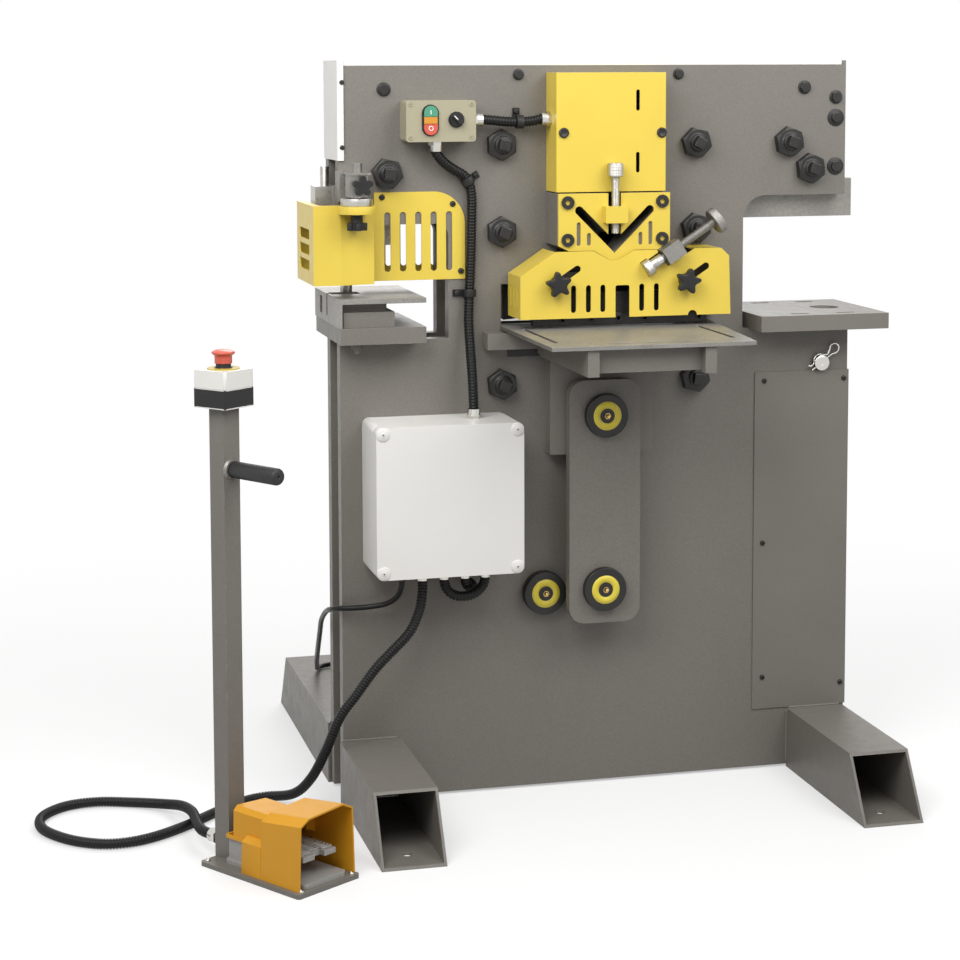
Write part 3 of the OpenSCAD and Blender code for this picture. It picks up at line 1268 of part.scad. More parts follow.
front_plate();
rear_plate();
frame_spacers();
feet();
end_cover();
frame_screws();
angle_block();
angle_guard();
lower_blades();
top_cover();
table_support();
feed_table();
punch_bolster();
die_set();
stripper();
punch_panels();
guard_bracket();
guard_post();
tool_table();
access_panel();
pivot_pins();
control_station();
enclosure_body();
enclosure_lid();
cable_fittings();
conduits();
pedal_conduit();
motor_cable();
pedal_base();
pedal_frame();
pedal_guard();
estop_box();
pedal_grip();
oil_tank();
pump_motor();
valve_block();
oil_hoses();
beam();
upper_blades();
punch_ram();
punch();
links();
link_pins();
rocker();
cylinder_barrel();
cylinder_rod();
start_button();
stop_button();
selector_switch();
estop_button();
treadle();
angle_holddown();
guard_adjuster();
screw_holders();
flat_guard();
star_knob_left();
star_knob_right();
punch_guard();
post_knob();
guard_knob();
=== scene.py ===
"""Looks of the hydraulic ironworker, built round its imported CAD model. Lengths are in millimetres
in the tables and helpers below, and metres in Blender."""
import json
import math

import bmesh
import bpy
from mathutils import Matrix, Vector


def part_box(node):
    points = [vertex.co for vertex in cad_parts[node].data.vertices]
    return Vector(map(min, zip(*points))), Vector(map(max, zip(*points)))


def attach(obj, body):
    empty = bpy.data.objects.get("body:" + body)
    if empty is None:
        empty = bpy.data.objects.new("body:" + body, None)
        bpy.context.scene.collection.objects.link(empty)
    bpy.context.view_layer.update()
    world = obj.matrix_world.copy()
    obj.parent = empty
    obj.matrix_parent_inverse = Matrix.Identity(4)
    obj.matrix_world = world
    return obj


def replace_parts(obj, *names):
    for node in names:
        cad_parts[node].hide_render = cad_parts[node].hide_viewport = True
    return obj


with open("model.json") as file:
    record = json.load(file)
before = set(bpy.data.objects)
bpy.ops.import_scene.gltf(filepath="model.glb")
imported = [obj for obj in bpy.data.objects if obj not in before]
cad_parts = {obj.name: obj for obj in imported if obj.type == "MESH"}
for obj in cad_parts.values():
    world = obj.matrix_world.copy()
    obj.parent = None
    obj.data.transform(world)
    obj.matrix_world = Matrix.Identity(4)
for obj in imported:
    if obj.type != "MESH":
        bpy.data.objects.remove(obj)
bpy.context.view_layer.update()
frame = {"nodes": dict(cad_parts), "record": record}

NODES = frame["nodes"]
MM = 0.001


def box(node):
    """Lowest and highest corner of a CAD node, in millimetres."""
    lo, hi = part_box(node)
    return lo / MM, hi / MM


# ------------------------------------------------------------------ camera

EYE = (-1.2517, -4.1135, 1.3640)
YAW, PITCH, ROLL = math.radians(-14.16), math.radians(5.54), math.radians(-0.17)
cam_data = bpy.data.cameras.new("camera")
cam = bpy.data.objects.new("camera", cam_data)
bpy.context.scene.collection.objects.link(cam)
back = Vector((math.sin(YAW) * math.cos(PITCH), -math.cos(YAW) * math.cos(PITCH), math.sin(PITCH)))
right = Vector((math.cos(YAW), math.sin(YAW), 0))
up = back.cross(right)
right, up = (math.cos(ROLL) * right + math.sin(ROLL) * up,
             math.cos(ROLL) * up - math.sin(ROLL) * right)
aim = Matrix((right, up, back)).transposed().to_4x4()
cam.matrix_world = Matrix.Translation(EYE) @ aim
cam_data.sensor_width = 36
cam_data.lens = 84.8
cam_data.shift_y = -0.2
cam_data.clip_start, cam_data.clip_end = 0.1, 60
bpy.context.scene.camera = cam

# ------------------------------------------------------------------ mesh helpers


class Shape:
    """Vertices, faces and a material number for each face, gathered for one piece."""

    def __init__(self):
        self.verts, self.faces, self.marks, self.smooth = [], [], [], []

    def add(self, verts, faces, mark=0, smooth=False):
        """Adds vertices in millimetres, and faces that count them from 0."""
        n = len(self.verts)
        self.verts += [tuple(v) for v in verts]
        self.faces += [tuple(n + i for i in f) for f in faces]
        self.marks += [mark] * len(faces)
        self.smooth += [smooth] * len(faces)
        return self

    def piece(self, name, body, materials, slot=None):
        """Makes the object, in metres, and lets it ride on a body."""
        mesh = bpy.data.meshes.new(name)
        mesh.from_pydata([(x * MM, y * MM, z * MM) for x, y, z in self.verts], [], self.faces)
        for m in materials if isinstance(materials, (list, tuple)) else [materials]:
            mesh.materials.append(m)
        for p, mark, smooth in zip(mesh.polygons, self.marks, self.smooth):
            p.material_index, p.use_smooth = mark, smooth
        mesh.update()
        obj = bpy.data.objects.new(name, mesh)
        bpy.context.scene.collection.objects.link(obj)
        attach(obj, body)
        return obj


def frame_on(axis):
    """Two unit vectors that stand square on axis."""
    a = Vector(axis).normalized()
    u = a.cross(Vector((0, 0, 1)))
    if u.length < 1e-6:
        u = Vector((1, 0, 0))
    u.normalize()
    return u, a.cross(u)


def circle(count, closed=False):
    """Angles of count even steps round a circle, and once more the start if it is closed."""
    return [2 * math.pi * k / count for k in range(count + closed)]


def lathe(shape, at, axis, profile, sides=32, mark=0, smooth=True):
    """Profile of (radius, height) pairs turned round axis. Ends with radius 0 close to a point."""
    at, a = Vector(at), Vector(axis).normalized()
    u, w = frame_on(axis)
    verts, rings, faces = [], [], []
    for r, h in profile:
        if r < 1e-6:
            rings.append([len(verts)])
            verts.append(at + a * h)
        else:
            rings.append(list(range(len(verts), len(verts) + sides)))
            verts += [at + a * h + r * (math.cos(t) * u + math.sin(t) * w)
                      for t in circle(sides)]
    for p, q in zip(rings, rings[1:]):
        for k in range(sides):
            m = (k + 1) % sides
            if len(p) == 1 and len(q) > 1:
                faces.append((p[0], q[m], q[k]))
            elif len(q) == 1 and len(p) > 1:
                faces.append((p[k], p[m], q[0]))
            elif len(p) > 1:
                faces.append((p[k], p[m], q[m], q[k]))
    return shape.add(verts, faces, mark, smooth)


def turned(shape, at, axis, r, h, mark=0, bevel=0.6, sides=32, h0=0.0):
    """Disc or drum with rounded rims, from height h0 to h along axis."""
    b = min(bevel, r * 0.45, abs(h - h0) * 0.45)
    prof = [(0, h0), (r - b, h0), (r - 0.3 * b, h0 + 0.3 * b), (r, h0 + b), (r, h - b),
            (r - 0.3 * b, h - 0.3 * b), (r - b, h), (0, h)]
    return lathe(shape, at, axis, prof, sides, mark, sides > 8)


def slab(shape, centre, size, mark=0, bevel=0.0, turn=None):
    """Box with chamfered edges round its own centre."""
    bm = bmesh.new()
    bmesh.ops.create_cube(bm, size=1)
    for v in bm.verts:
        v.co = Vector((v.co.x * size[0], v.co.y * size[1], v.co.z * size[2]))
    if bevel:
        bmesh.ops.bevel(bm, geom=list(bm.edges), offset=bevel, segments=2, profile=0.6,
                        affect="EDGES")
    if turn is not None:
        bmesh.ops.transform(bm, matrix=turn, verts=bm.verts)
    bm.verts.index_update()
    verts = [v.co + Vector(centre) for v in bm.verts]
    faces = [[v.index for v in f.verts] for f in bm.faces]
    bm.free()
    return shape.add(verts, faces, mark)


def curve_points(points, step):
    """Catmull-Rom curve through the points, resampled evenly about step apart."""
    p = [Vector(q) for q in points]
    fine = []
    for i in range(len(p) - 1):
        a, b, c, d = p[max(i - 1, 0)], p[i], p[i + 1], p[min(i + 2, len(p) - 1)]
        for k in range(24):
            t = k / 24
            fine.append(0.5 * (2 * b + (c - a) * t + (2 * a - 5 * b + 4 * c - d) * t * t
                               + (3 * b - a - 3 * c + d) * t ** 3))
    fine.append(p[-1])
    total = [0.0]
    for a, b in zip(fine, fine[1:]):
        total.append(total[-1] + (b - a).length)
    count = max(2, round(total[-1] / step))
    out, j = [], 0
    for k in range(count + 1):
        s = total[-1] * k / count
        while j < len(fine) - 2 and total[j + 1] < s:
            j += 1
        span = total[j + 1] - total[j]
        out.append(fine[j].lerp(fine[j + 1], (s - total[j]) / span if span else 0))
    return out, total[-1]


def skin(rings, sides, near=True, far=True):
    """Faces between rings of vertices, with the near and the far end closed."""
    faces = []
    for i in range(0, (rings - 1) * sides, sides):
        for k in range(sides):
            m = (k + 1) % sides
            faces.append((i + k, i + m, i + sides + m, i + sides + k))
    if near:
        faces.append(tuple(range(sides))[::-1])
    if far:
        faces.append(tuple((rings - 1) * sides + k for k in range(sides)))
    return faces


def tube(shape, points, radius, sides=14, mark=0, caps=True):
    """Tube along points; radius is a number or a function of the ring's number."""
    ways = [(points[min(i + 1, len(points) - 1)] - points[max(i - 1, 0)]).normalized()
            for i in range(len(points))]
    u = frame_on(ways[0])[0]
    verts = []
    for i, (p, d) in enumerate(zip(points, ways)):
        u = (u - u.dot(d) * d).normalized()
        w = d.cross(u)
        r = radius(i) if callable(radius) else radius
        verts += [p + r * (math.cos(t) * u + math.sin(t) * w) for t in circle(sides)]
    return shape.add(verts, skin(len(points), sides, caps, caps), mark, True)


def threaded(shape, at, axis, r, length, pitch=2.0, mark=0, sides=24):
    """Screw thread as one helical surface with flat ends."""
    at, a = Vector(at), Vector(axis).normalized()
    u, w = frame_on(axis)
    rings = max(2, int(length / pitch * 5))
    depth = 0.5 * pitch
    verts = []
    for i in range(rings + 1):
        h = length * i / rings
        for k in range(sides):
            x = (h / pitch - k / sides) % 1.0
            rr = r - depth * min(1.0, abs(2 * x - 1) * 1.15)
            t = 2 * math.pi * k / sides
            verts.append(at + a * h + rr * (math.cos(t) * u + math.sin(t) * w))
    return shape.add(verts, skin(rings + 1, sides), mark, True)


def knurled(shape, at, axis, r, length, ridges=36, mark=0):
    """Drum with a diamond knurl and chamfered ends."""
    at, a = Vector(at), Vector(axis).normalized()
    u, w = frame_on(axis)
    sides, rings = ridges * 3, max(6, int(length))
    verts = []
    for i in range(rings + 1):
        h = length * i / rings
        edge = min(h, length - h)
        for k in range(sides):
            t = 2 * math.pi * k / sides
            g = math.sin(ridges * t + h * 1.9) * math.sin(ridges * t - h * 1.9)
            rr = r - (0.35 * (1 - g) if edge > 1.2 else 0.35) - max(0.0, 1.2 - edge) * 0.9
            verts.append(at + a * h + rr * (math.cos(t) * u + math.sin(t) * w))
    return shape.add(verts, skin(rings + 1, sides), mark)


def weld(shape, a, b, r):
    """Rippled weld bead from a to b."""
    a, b = Vector(a), Vector(b)
    n = max(6, int((b - a).length / 1.8))
    pts = [a.lerp(b, i / n) for i in range(n + 1)]
    return tube(shape, pts, lambda i: r * (0.84 + 0.16 * math.cos(i * 2.1))
                * (0.5 if i in (0, n) else 1.0), 8)


def button_head(shape, at, axis, r, h, mark=0, dark=1):
    """Domed screw head with a hexagon socket."""
    s = r * 0.45
    prof = [(r, 0), (r, h * 0.35), (r * 0.93, h * 0.65), (r * 0.78, h * 0.88), (s * 1.25, h)]
    lathe(shape, at, axis, prof, 24, mark)
    lathe(shape, at, axis, [(s * 1.25, h), (s, h), (s, h * 0.45), (0, h * 0.4)], 6, dark, False)


def loft(shape, at, axis, rings, turn):
    """Rings of (radius for an angle, height for an angle) round axis, closed at the far end."""
    at, a = Vector(at), Vector(axis).normalized()
    u, w = frame_on(axis)
    sides = 60
    verts = [at + a * height(t) + radius(t) * (math.cos(t + turn) * u + math.sin(t + turn) * w)
             for radius, height in rings for t in circle(sides)]
    return shape.add(verts, skin(len(rings), sides, near=False))


def hex_nut(shape, at, axis, across, h, turn):
    """Hexagon whose outer corners are turned off by a 30 degree chamfer."""
    half, crown = across / 2, across * 0.475

    def flat(t):
        return half / math.cos((t + math.pi / 6) % (math.pi / 3) - math.pi / 6)

    def rim(t):
        return h - (flat(t) - crown) * 0.5

    return loft(shape, at, axis, [(flat, lambda t: 0), (flat, rim), (lambda t: crown, lambda t: h),
                                  (lambda t: crown * 0.9, lambda t: h)], turn)


def star(shape, at, axis, r, h, turn):
    """Five-pointed hand knob with rounded tips, hollow flanks and a domed face."""
    def lobe(scale):
        return lambda t: scale * r * (0.60 + 0.40 * (0.5 + 0.5 * math.cos(5 * t)) ** 1.5)

    rings = [(lobe(s), lambda t, z=z: z) for s, z in (
        (0.94, 0), (0.985, 0.5), (1.0, 1.6), (1.0, h - 3.0), (0.985, h - 1.6), (0.93, h - 0.7),
        (0.80, h - 0.2), (0.50, h), (0.25, h))]
    return loft(shape, at, axis, rings, turn)


def cross_head(shape, at, axis, r, h, mark=0, dark=1, turn=0.5):
    """Domed screw head with a cross recess."""
    lathe(shape, at, axis, [(r, 0), (r * 0.98, h * 0.5), (r * 0.8, h * 0.85), (r * 0.4, h), (0, h)],
          24, mark)
    u, w = frame_on(axis)
    a = Vector(axis).normalized()
    for t in (turn, turn + math.pi / 2):
        d = math.cos(t) * u + math.sin(t) * w
        m = Matrix((d, a.cross(d), a)).transposed().to_4x4()
        slab(shape, Vector(at) + a * (h * 0.96), (r, r * 0.22, h * 0.12), dark, 0, m)


# ------------------------------------------------------------------ materials


STEEL = (0.50, 0.49, 0.46)
WEAR_WIDTH = 0.0012
RANGE = ("From Min", "From Max", "To Min", "To Max")
MATS = {}


def fill(node, keys, values):
    """Sets several inputs of a shader node."""
    for key, v in zip(keys, values):
        node.inputs[key].default_value = v


def material(name, colour, rough, metal=0.0, grain=0.06, grain_scale=900.0, blotch=0.05,
             blotch_scale=5.0, rough_vary=0.06, bump=0.15, bump_scale=900.0, depth=0.0002,
             stretch=(1, 1, 1), wear=0.0, wear_colour=STEEL, low_shade_and_grime=0.0, specular=0.5):
    """Procedural material: fine grain, broad blotches, uneven gloss, bump, worn edges, and painted
    shade with grime low down.
    """
    m = bpy.data.materials.new(name)
    m.use_nodes = True
    nt = m.node_tree
    nt.nodes.clear()
    new, join = nt.nodes.new, nt.links.new
    out = new("ShaderNodeOutputMaterial")
    shader = new("ShaderNodeBsdfPrincipled")
    join(shader.outputs[0], out.inputs[0])
    shader.inputs["Specular IOR Level"].default_value = specular
    place = new("ShaderNodeTexCoord")
    scale = new("ShaderNodeMapping")
    scale.inputs["Scale"].default_value = stretch
    join(place.outputs["Object"], scale.inputs["Vector"])

    def noise(size, detail):
        n = new("ShaderNodeTexNoise")
        fill(n, ("Scale", "Detail"), (size, detail))
        join(scale.outputs[0], n.inputs["Vector"])
        return n.outputs["Fac"]

    def math_node(kind, a, b):
        n = new("ShaderNodeMath")
        n.operation = kind
        for i, x in enumerate((a, b)):
            if hasattr(x, "links"):
                join(x, n.inputs[i])
            else:
                n.inputs[i].default_value = x
        return n.outputs[0]

    def ramp(x, lo, hi, a=0.0, b=1.0):
        n = new("ShaderNodeMapRange")
        fill(n, RANGE, (lo, hi, a, b))
        join(x, n.inputs["Value"])
        return n.outputs[0]

    fine, broad = noise(grain_scale, 2.0), noise(blotch_scale, 3.0)
    shade = math_node("ADD", ramp(fine, 0.3, 0.7, 1 - grain, 1 + grain),
                      ramp(broad, 0.3, 0.7, -blotch, blotch))
    # Painted shade with grime: darker in broad blotches over the lowest 0.25 m of height
    if low_shade_and_grime:
        low = new("ShaderNodeSeparateXYZ")
        join(place.outputs["Object"], low.inputs[0])
        near = ramp(low.outputs["Z"], 0.0, 0.25, low_shade_and_grime, 0.0)
        shade = math_node("SUBTRACT", shade, math_node("MULTIPLY", near, ramp(broad, 0.3, 0.7)))
    tint = new("ShaderNodeVectorMath")
    tint.operation = "SCALE"
    tint.inputs[0].default_value = colour
    join(shade, tint.inputs["Scale"])
    gloss = ramp(noise(blotch_scale * 9, 4.0), 0.3, 0.7, rough - rough_vary, rough + rough_vary)
    if wear:
        bevel = new("ShaderNodeBevel")
        bevel.samples = 4
        bevel.inputs["Radius"].default_value = WEAR_WIDTH
        geometry = new("ShaderNodeNewGeometry")
        dot = new("ShaderNodeVectorMath")
        dot.operation = "DOT_PRODUCT"
        join(bevel.outputs[0], dot.inputs[0])
        join(geometry.outputs["Normal"], dot.inputs[1])
        edge = ramp(dot.outputs["Value"], 0.985, 0.80)
        patches = ramp(noise(60.0, 5.0), 0.62 - 0.3 * wear, 0.80 - 0.3 * wear)
        mask = math_node("MULTIPLY", edge, patches)
        mix = new("ShaderNodeMix")
        mix.data_type = "RGBA"
        join(mask, mix.inputs["Factor"])
        join(tint.outputs[0], mix.inputs[6])
        mix.inputs[7].default_value = (*wear_colour, 1)
        join(mix.outputs[2], shader.inputs["Base Color"])
        shine = math_node("MAXIMUM", math_node("MULTIPLY", mask, 0.8), metal)
        join(shine, shader.inputs["Metallic"])
    else:
        join(tint.outputs[0], shader.inputs["Base Color"])
        shader.inputs["Metallic"].default_value = metal
    join(gloss, shader.inputs["Roughness"])
    if bump:
        b = new("ShaderNodeBump")
        fill(b, ("Strength", "Distance"), (bump, depth))
        join(noise(bump_scale, 3.0), b.inputs["Height"])
        join(b.outputs[0], shader.inputs["Normal"])
    MATS[name] = m


# Frame paint, with painted shade and grime near the floor
material("frame_paint", (0.178, 0.165, 0.145), 0.46, grain=0.16, grain_scale=650, blotch=0.05,
         bump=0.35, bump_scale=700, depth=0.0003, wear=0.35, low_shade_and_grime=0.12)
material("guard_yellow", (0.74, 0.555, 0.075), 0.36, grain=0.02, blotch=0.03, bump=0.12,
         bump_scale=420, wear=0.10, wear_colour=(0.45, 0.40, 0.25))
material("bare_steel", STEEL, 0.34, 1.0, grain=0.10, grain_scale=140, blotch=0.10, blotch_scale=14,
         rough_vary=0.10, bump=0.25, bump_scale=260, stretch=(1, 6, 6), depth=0.0001)
material("ground_steel", (0.30, 0.288, 0.265), 0.46, 0.45, grain=0.10, grain_scale=220, blotch=0.12,
         blotch_scale=10, bump=0.2, bump_scale=260, specular=0.3)
material("rolled_steel", (0.27, 0.26, 0.24), 0.48, 0.85, grain=0.12, grain_scale=300, blotch=0.16,
         blotch_scale=12, rough_vary=0.12, bump=0.3, bump_scale=260, depth=0.0002, wear=0.5)
material("black_steel", (0.022, 0.021, 0.020), 0.42, 0.35, grain=0.2, grain_scale=500, blotch=0.2,
         blotch_scale=30, bump=0.25, bump_scale=500, wear=0.45, wear_colour=(0.20, 0.19, 0.18))
material("white_paint", (0.80, 0.785, 0.755), 0.38, grain=0.015, blotch=0.02, bump=0.10,
         bump_scale=500)
material("station_paint", (0.37, 0.34, 0.235), 0.42, grain=0.05, blotch=0.03, bump=0.2,
         bump_scale=600)
material("black_plastic", (0.014, 0.014, 0.014), 0.42, grain=0.12, grain_scale=700, bump=0.25,
         bump_scale=700, specular=0.35)
material("conduit_black", (0.009, 0.009, 0.009), 0.34, grain=0.15, grain_scale=500, bump=0.15,
         bump_scale=600, specular=0.22)
material("green_plastic", (0.075, 0.30, 0.19), 0.28, grain=0.03, bump=0.05)
material("red_plastic", (0.60, 0.10, 0.065), 0.30, grain=0.03, bump=0.05)
material("estop_housing", (0.78, 0.77, 0.73), 0.40, grain=0.02, bump=0.1)
material("orange_shell", (0.69, 0.325, 0.016), 0.40, grain=0.03, blotch=0.04, bump=0.2,
         bump_scale=450, wear=0.15, wear_colour=(0.40, 0.33, 0.2), specular=0.3)
material("grey_casting", (0.34, 0.335, 0.32), 0.50, 0.12, grain=0.15, grain_scale=500, bump=0.4,
         bump_scale=420, wear=0.5)
material("grip_rubber", (0.012, 0.012, 0.012), 0.55, grain=0.15, bump=0.3)
material("motor_paint", (0.045, 0.06, 0.085), 0.40, grain=0.1, blotch=0.06, bump=0.3,
         bump_scale=420, wear=0.2)
material("nickel", (0.62, 0.61, 0.57), 0.24, 1.0, grain=0.05, bump=0.08)
material("brass", (0.70, 0.46, 0.16), 0.30, 1.0, grain=0.06, bump=0.1)
material("white_mark", (0.85, 0.85, 0.82), 0.4, grain=0.02, bump=0.05)
material("label_yellow", (0.78, 0.64, 0.06), 0.35, grain=0.03, bump=0.05)
material("dull_yellow", (0.46, 0.34, 0.05), 0.45, grain=0.05, bump=0.1)
material("amber", (0.62, 0.27, 0.03), 0.25, grain=0.05, bump=0.05)
material("socket_dark", (0.008, 0.008, 0.008), 0.6, grain=0.1, bump=0.1)

for sub in frame["record"]["subparts"]:
    obj = NODES[sub["node"]]
    obj.data.materials.clear()
    obj.data.materials.append(MATS[sub["material_slot"]])


def also(node, name, test):
    """Gives another material to the faces of a CAD node that test says, from centre and normal."""
    mesh = NODES[node].data
    mesh.materials.append(MATS[name])
    k = len(mesh.materials) - 1
    for p in mesh.polygons:
        if test(p.center / MM, p.normal):
            p.material_index = k


# ------------------------------------------------------------------ stage and light


def seen_only(tree):
    """1 for camera, glossy and transmission rays, and 0 for the light that falls on things."""
    path = tree.nodes.new("ShaderNodeLightPath")
    total = path.outputs["Is Camera Ray"]
    for key in ("Is Glossy Ray", "Is Transmission Ray"):
        m = tree.nodes.new("ShaderNodeMath")
        m.operation = "MAXIMUM"
        tree.links.new(total, m.inputs[0])
        tree.links.new(path.outputs[key], m.inputs[1])
        total = m.outputs[0]
    return total


def blend(tree, factor, first, second):
    """Shader that goes from the first to the second shader as factor goes from 0 to 1."""
    mix = tree.nodes.new("ShaderNodeMixShader")
    tree.links.new(factor, mix.inputs[0])
    tree.links.new(first.outputs[0], mix.inputs[1])
    tree.links.new(second.outputs[0], mix.inputs[2])
    return mix


# Floor: white paint that fades to plain white away from the machine. Light that bounces off it
# comes from a darker grey
floor_mesh = bpy.data.meshes.new("floor")
floor_mesh.from_pydata([(-30, -30, 0), (30, -30, 0), (30, 30, 0), (-30, 30, 0)], [], [(0, 1, 2, 3)])
floor_mat = bpy.data.materials.new("floor")
floor_mat.use_nodes = True
tree = floor_mat.node_tree
new, join = tree.nodes.new, tree.links.new
paint = tree.nodes["Principled BSDF"]
fill(paint, ("Base Color", "Roughness", "Specular IOR Level"), ((0.93, 0.93, 0.925, 1), 0.9, 0.1))
place = new("ShaderNodeTexCoord")
reach = new("ShaderNodeVectorMath")
reach.operation = "LENGTH"
join(place.outputs["Object"], reach.inputs[0])
fade = new("ShaderNodeMapRange")
fade.interpolation_type = "SMOOTHSTEP"
fill(fade, RANGE, (0.8, 2.6, 0.45, 1.0))
join(reach.outputs["Value"], fade.inputs["Value"])
glow = new("ShaderNodeEmission")
dull = new("ShaderNodeBsdfDiffuse")
dull.inputs["Color"].default_value = (0.34, 0.34, 0.335, 1)
pale = blend(tree, fade.outputs[0], paint, glow)
ground = blend(tree, seen_only(tree), dull, pale)
join(ground.outputs[0], tree.nodes["Material Output"].inputs["Surface"])
floor_mesh.materials.append(floor_mat)
floor = bpy.data.objects.new("floor", floor_mesh)
bpy.context.scene.collection.objects.link(floor)


def lamp(name, place, target, size, power):
    """Square area light at place, turned to target."""
    data = bpy.data.lights.new(name, "AREA")
    data.shape, data.size, data.energy = "SQUARE", size, power
    o = bpy.data.objects.new(name, data)
    o.location = place
    o.rotation_mode = "QUATERNION"
    o.rotation_quaternion = (Vector(target) - Vector(place)).to_track_quat("-Z", "Y")
    bpy.context.scene.collection.objects.link(o)


lamp("key", (-1.5, -1.6, 2.5), (-0.4, 0, 1.05), 1.7, 54)
lamp("fill", (0.95, -1.6, 2.5), (0.3, 0, 1.1), 1.6, 36)
lamp("rear", (0.5, 2.6, 2.8), (0, 0, 0.7), 2.0, 50)

# World: white to the camera, and a softer light on things
world = bpy.data.worlds.new("world")
bpy.context.scene.world = world
world.use_nodes = True
tree = world.node_tree
tree.nodes.clear()
out = tree.nodes.new("ShaderNodeOutputWorld")
soft, seen = (tree.nodes.new("ShaderNodeBackground") for _ in range(2))
fill(soft, ("Color", "Strength"), ((1, 1, 1, 1), 0.42))
fill(seen, ("Color", "Strength"), ((1, 1, 1, 1), 1.0))
tree.links.new(blend(tree, seen_only(tree), soft, seen).outputs[0], out.inputs[0])
bpy.context.scene.view_settings.view_transform = "Standard"

# ------------------------------------------------------------------ reference faces

FRONT, REAR, UP = (0, -1, 0), (0, 1, 0), (0, 0, 1)
front = box("front_plate")[0].y          # outer faces of the frame's two plates
rear = box("rear_plate")[1].y
VEE_X = 5.8                              # middle of the angle opening

# ------------------------------------------------------------------ cords and conduits

CONDUIT_R = 9.5
e_lo, e_hi = box("enclosure_body")
s_lo, s_hi = box("control_station")
c_lo = box("top_cover")[0]
glands = [-356, -315.5, -275.6, -237.5]
gland_y = -125


def corrugated(shape, points, r, pitch=5.6):
    """Convoluted conduit: round ribs with narrow valleys between them."""
    pts, length = curve_points(points, pitch / 4)
    tube(shape, pts, lambda i: r * (1.0, 0.97, 0.77, 0.97)[i % 4])
    return pts, length


push_z = (s_lo.z + s_hi.z) / 2 + 1.8     # between the two push buttons
pedal_route = [
    (glands[0], gland_y, e_lo.z - 7), (glands[0], gland_y, e_lo.z - 19), (-358, -129, 400),
    (-366, -135, 370), (-385, -140, 335), (-420, -140, 300), (-450, -140, 270),
    (-485, -140, 225), (-515, -138, 185), (-540, -125, 120), (-562, -95, 62), (-590, -60, 24),
    (-640, -22, 10), (-690, -45, 10), (-742, -91, 10), (-800, -148, 10), (-860, -192, 10),
    (-910, -210, 10), (-960, -204, 10), (-1012, -165, 10), (-1050, -100, 10),
    (-1048, -35, 10), (-1005, 15, 10), (-945, 28, 10), (-880, 8, 10), (-824, -32, 15),
    (-799, -80, 25), (-787, -132, 30.5), (-785, -180, 30), (-785, -222, 32),
    (-781, -250, 33), (-770, -274.7, 34.5), (-763.4, -284.7, 34.5)]
s = Shape()
pts, length = corrugated(s, pedal_route, CONDUIT_R)
pedal_conduit = s.piece("pedal_conduit_skin", "root", MATS["conduit_black"], "conduit_black")
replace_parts(pedal_conduit, "pedal_conduit")

motor_route = [
    (-395, gland_y, e_lo.z - 7), (-395, gland_y, e_lo.z - 19), (-396, -123, 415),
    (-402, -112, 396), (-420, -100, 382), (-450, -90, 376), (-480, -84, 374), (-505, -72, 372),
    (-514, -50, 366), (-514, 0, 350), (-512, 60, 320), (-505, 120, 280), (-495, 200, 228),
    (-480, 300, 178), (-467, 370, 146), (-456, 430, 126), (-440, 455, 123.5),
    (-412, 460, 124), (-376, 455, 123), (-342, 438, 108), (-304, 424, 112), (-270, 402, 146),
    (-250, 374, 196), (-242, 352, 262), (-240, 345, 330), (-238, 345, 400), (-222, 345, 440),
    (-196, 345, 464), (-180, 345, 478), (-180, 345, 490)]
s = Shape()
pts, length = curve_points(motor_route, 6)
tube(s, pts, 5.0, 12)
motor_cable = s.piece("motor_cable_skin", "root", MATS["conduit_black"], "conduit_black")
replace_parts(motor_cable, "motor_cable")

conduit_routes = {
    "conduit_station_cover": [
        (s_hi.x + 7, -91, push_z), (s_hi.x + 19, -91, push_z), (-215, -91, 1270),
        (-190, -91, 1267.5), (-161, -90.5, 1266.5), (-135, -91, 1268),
        (c_lo.x - 19, -91, push_z), (c_lo.x - 7, -91, push_z)],
    "conduit_station_box": [
        (-319, -91, s_lo.z - 7), (-319, -91, s_lo.z - 19), (-312, -89, 1203),
        (-299, -85.5, 1190.4), (-281, -81, 1179), (-262, -77, 1167.5), (-252, -75, 1151),
        (-248, -74.5, 1128), (-248.5, -74.5, 1085), (-250, -74.5, 1020), (-253, -75, 951),
        (-257, -84, 900), (-257.5, -98, 850), (-258, -115, 800),
        (-258, gland_y, e_hi.z + 21), (-258, gland_y, e_hi.z + 7)],
    "conduit_loop": [
        (glands[1], gland_y, e_lo.z - 7), (glands[1], gland_y, e_lo.z - 19), (-312, -128, 412),
        (-300, -133, 400), (-281, -135, 396), (-260, -134, 400), (-243, -129, 413),
        (glands[3], gland_y, e_lo.z - 19), (glands[3], gland_y, e_lo.z - 7)],
    "conduit_into_plate": [
        (glands[2], gland_y, e_lo.z - 7), (glands[2], gland_y, e_lo.z - 19), (-270, -118, 413),
        (-260, -102, 405.5), (-252, -84, 404), (-252, front, 404)],
}
for name, route in conduit_routes.items():
    s = Shape()
    corrugated(s, route, CONDUIT_R)
    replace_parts(s.piece(name, "root", MATS["conduit_black"], "conduit_black"), "conduits")

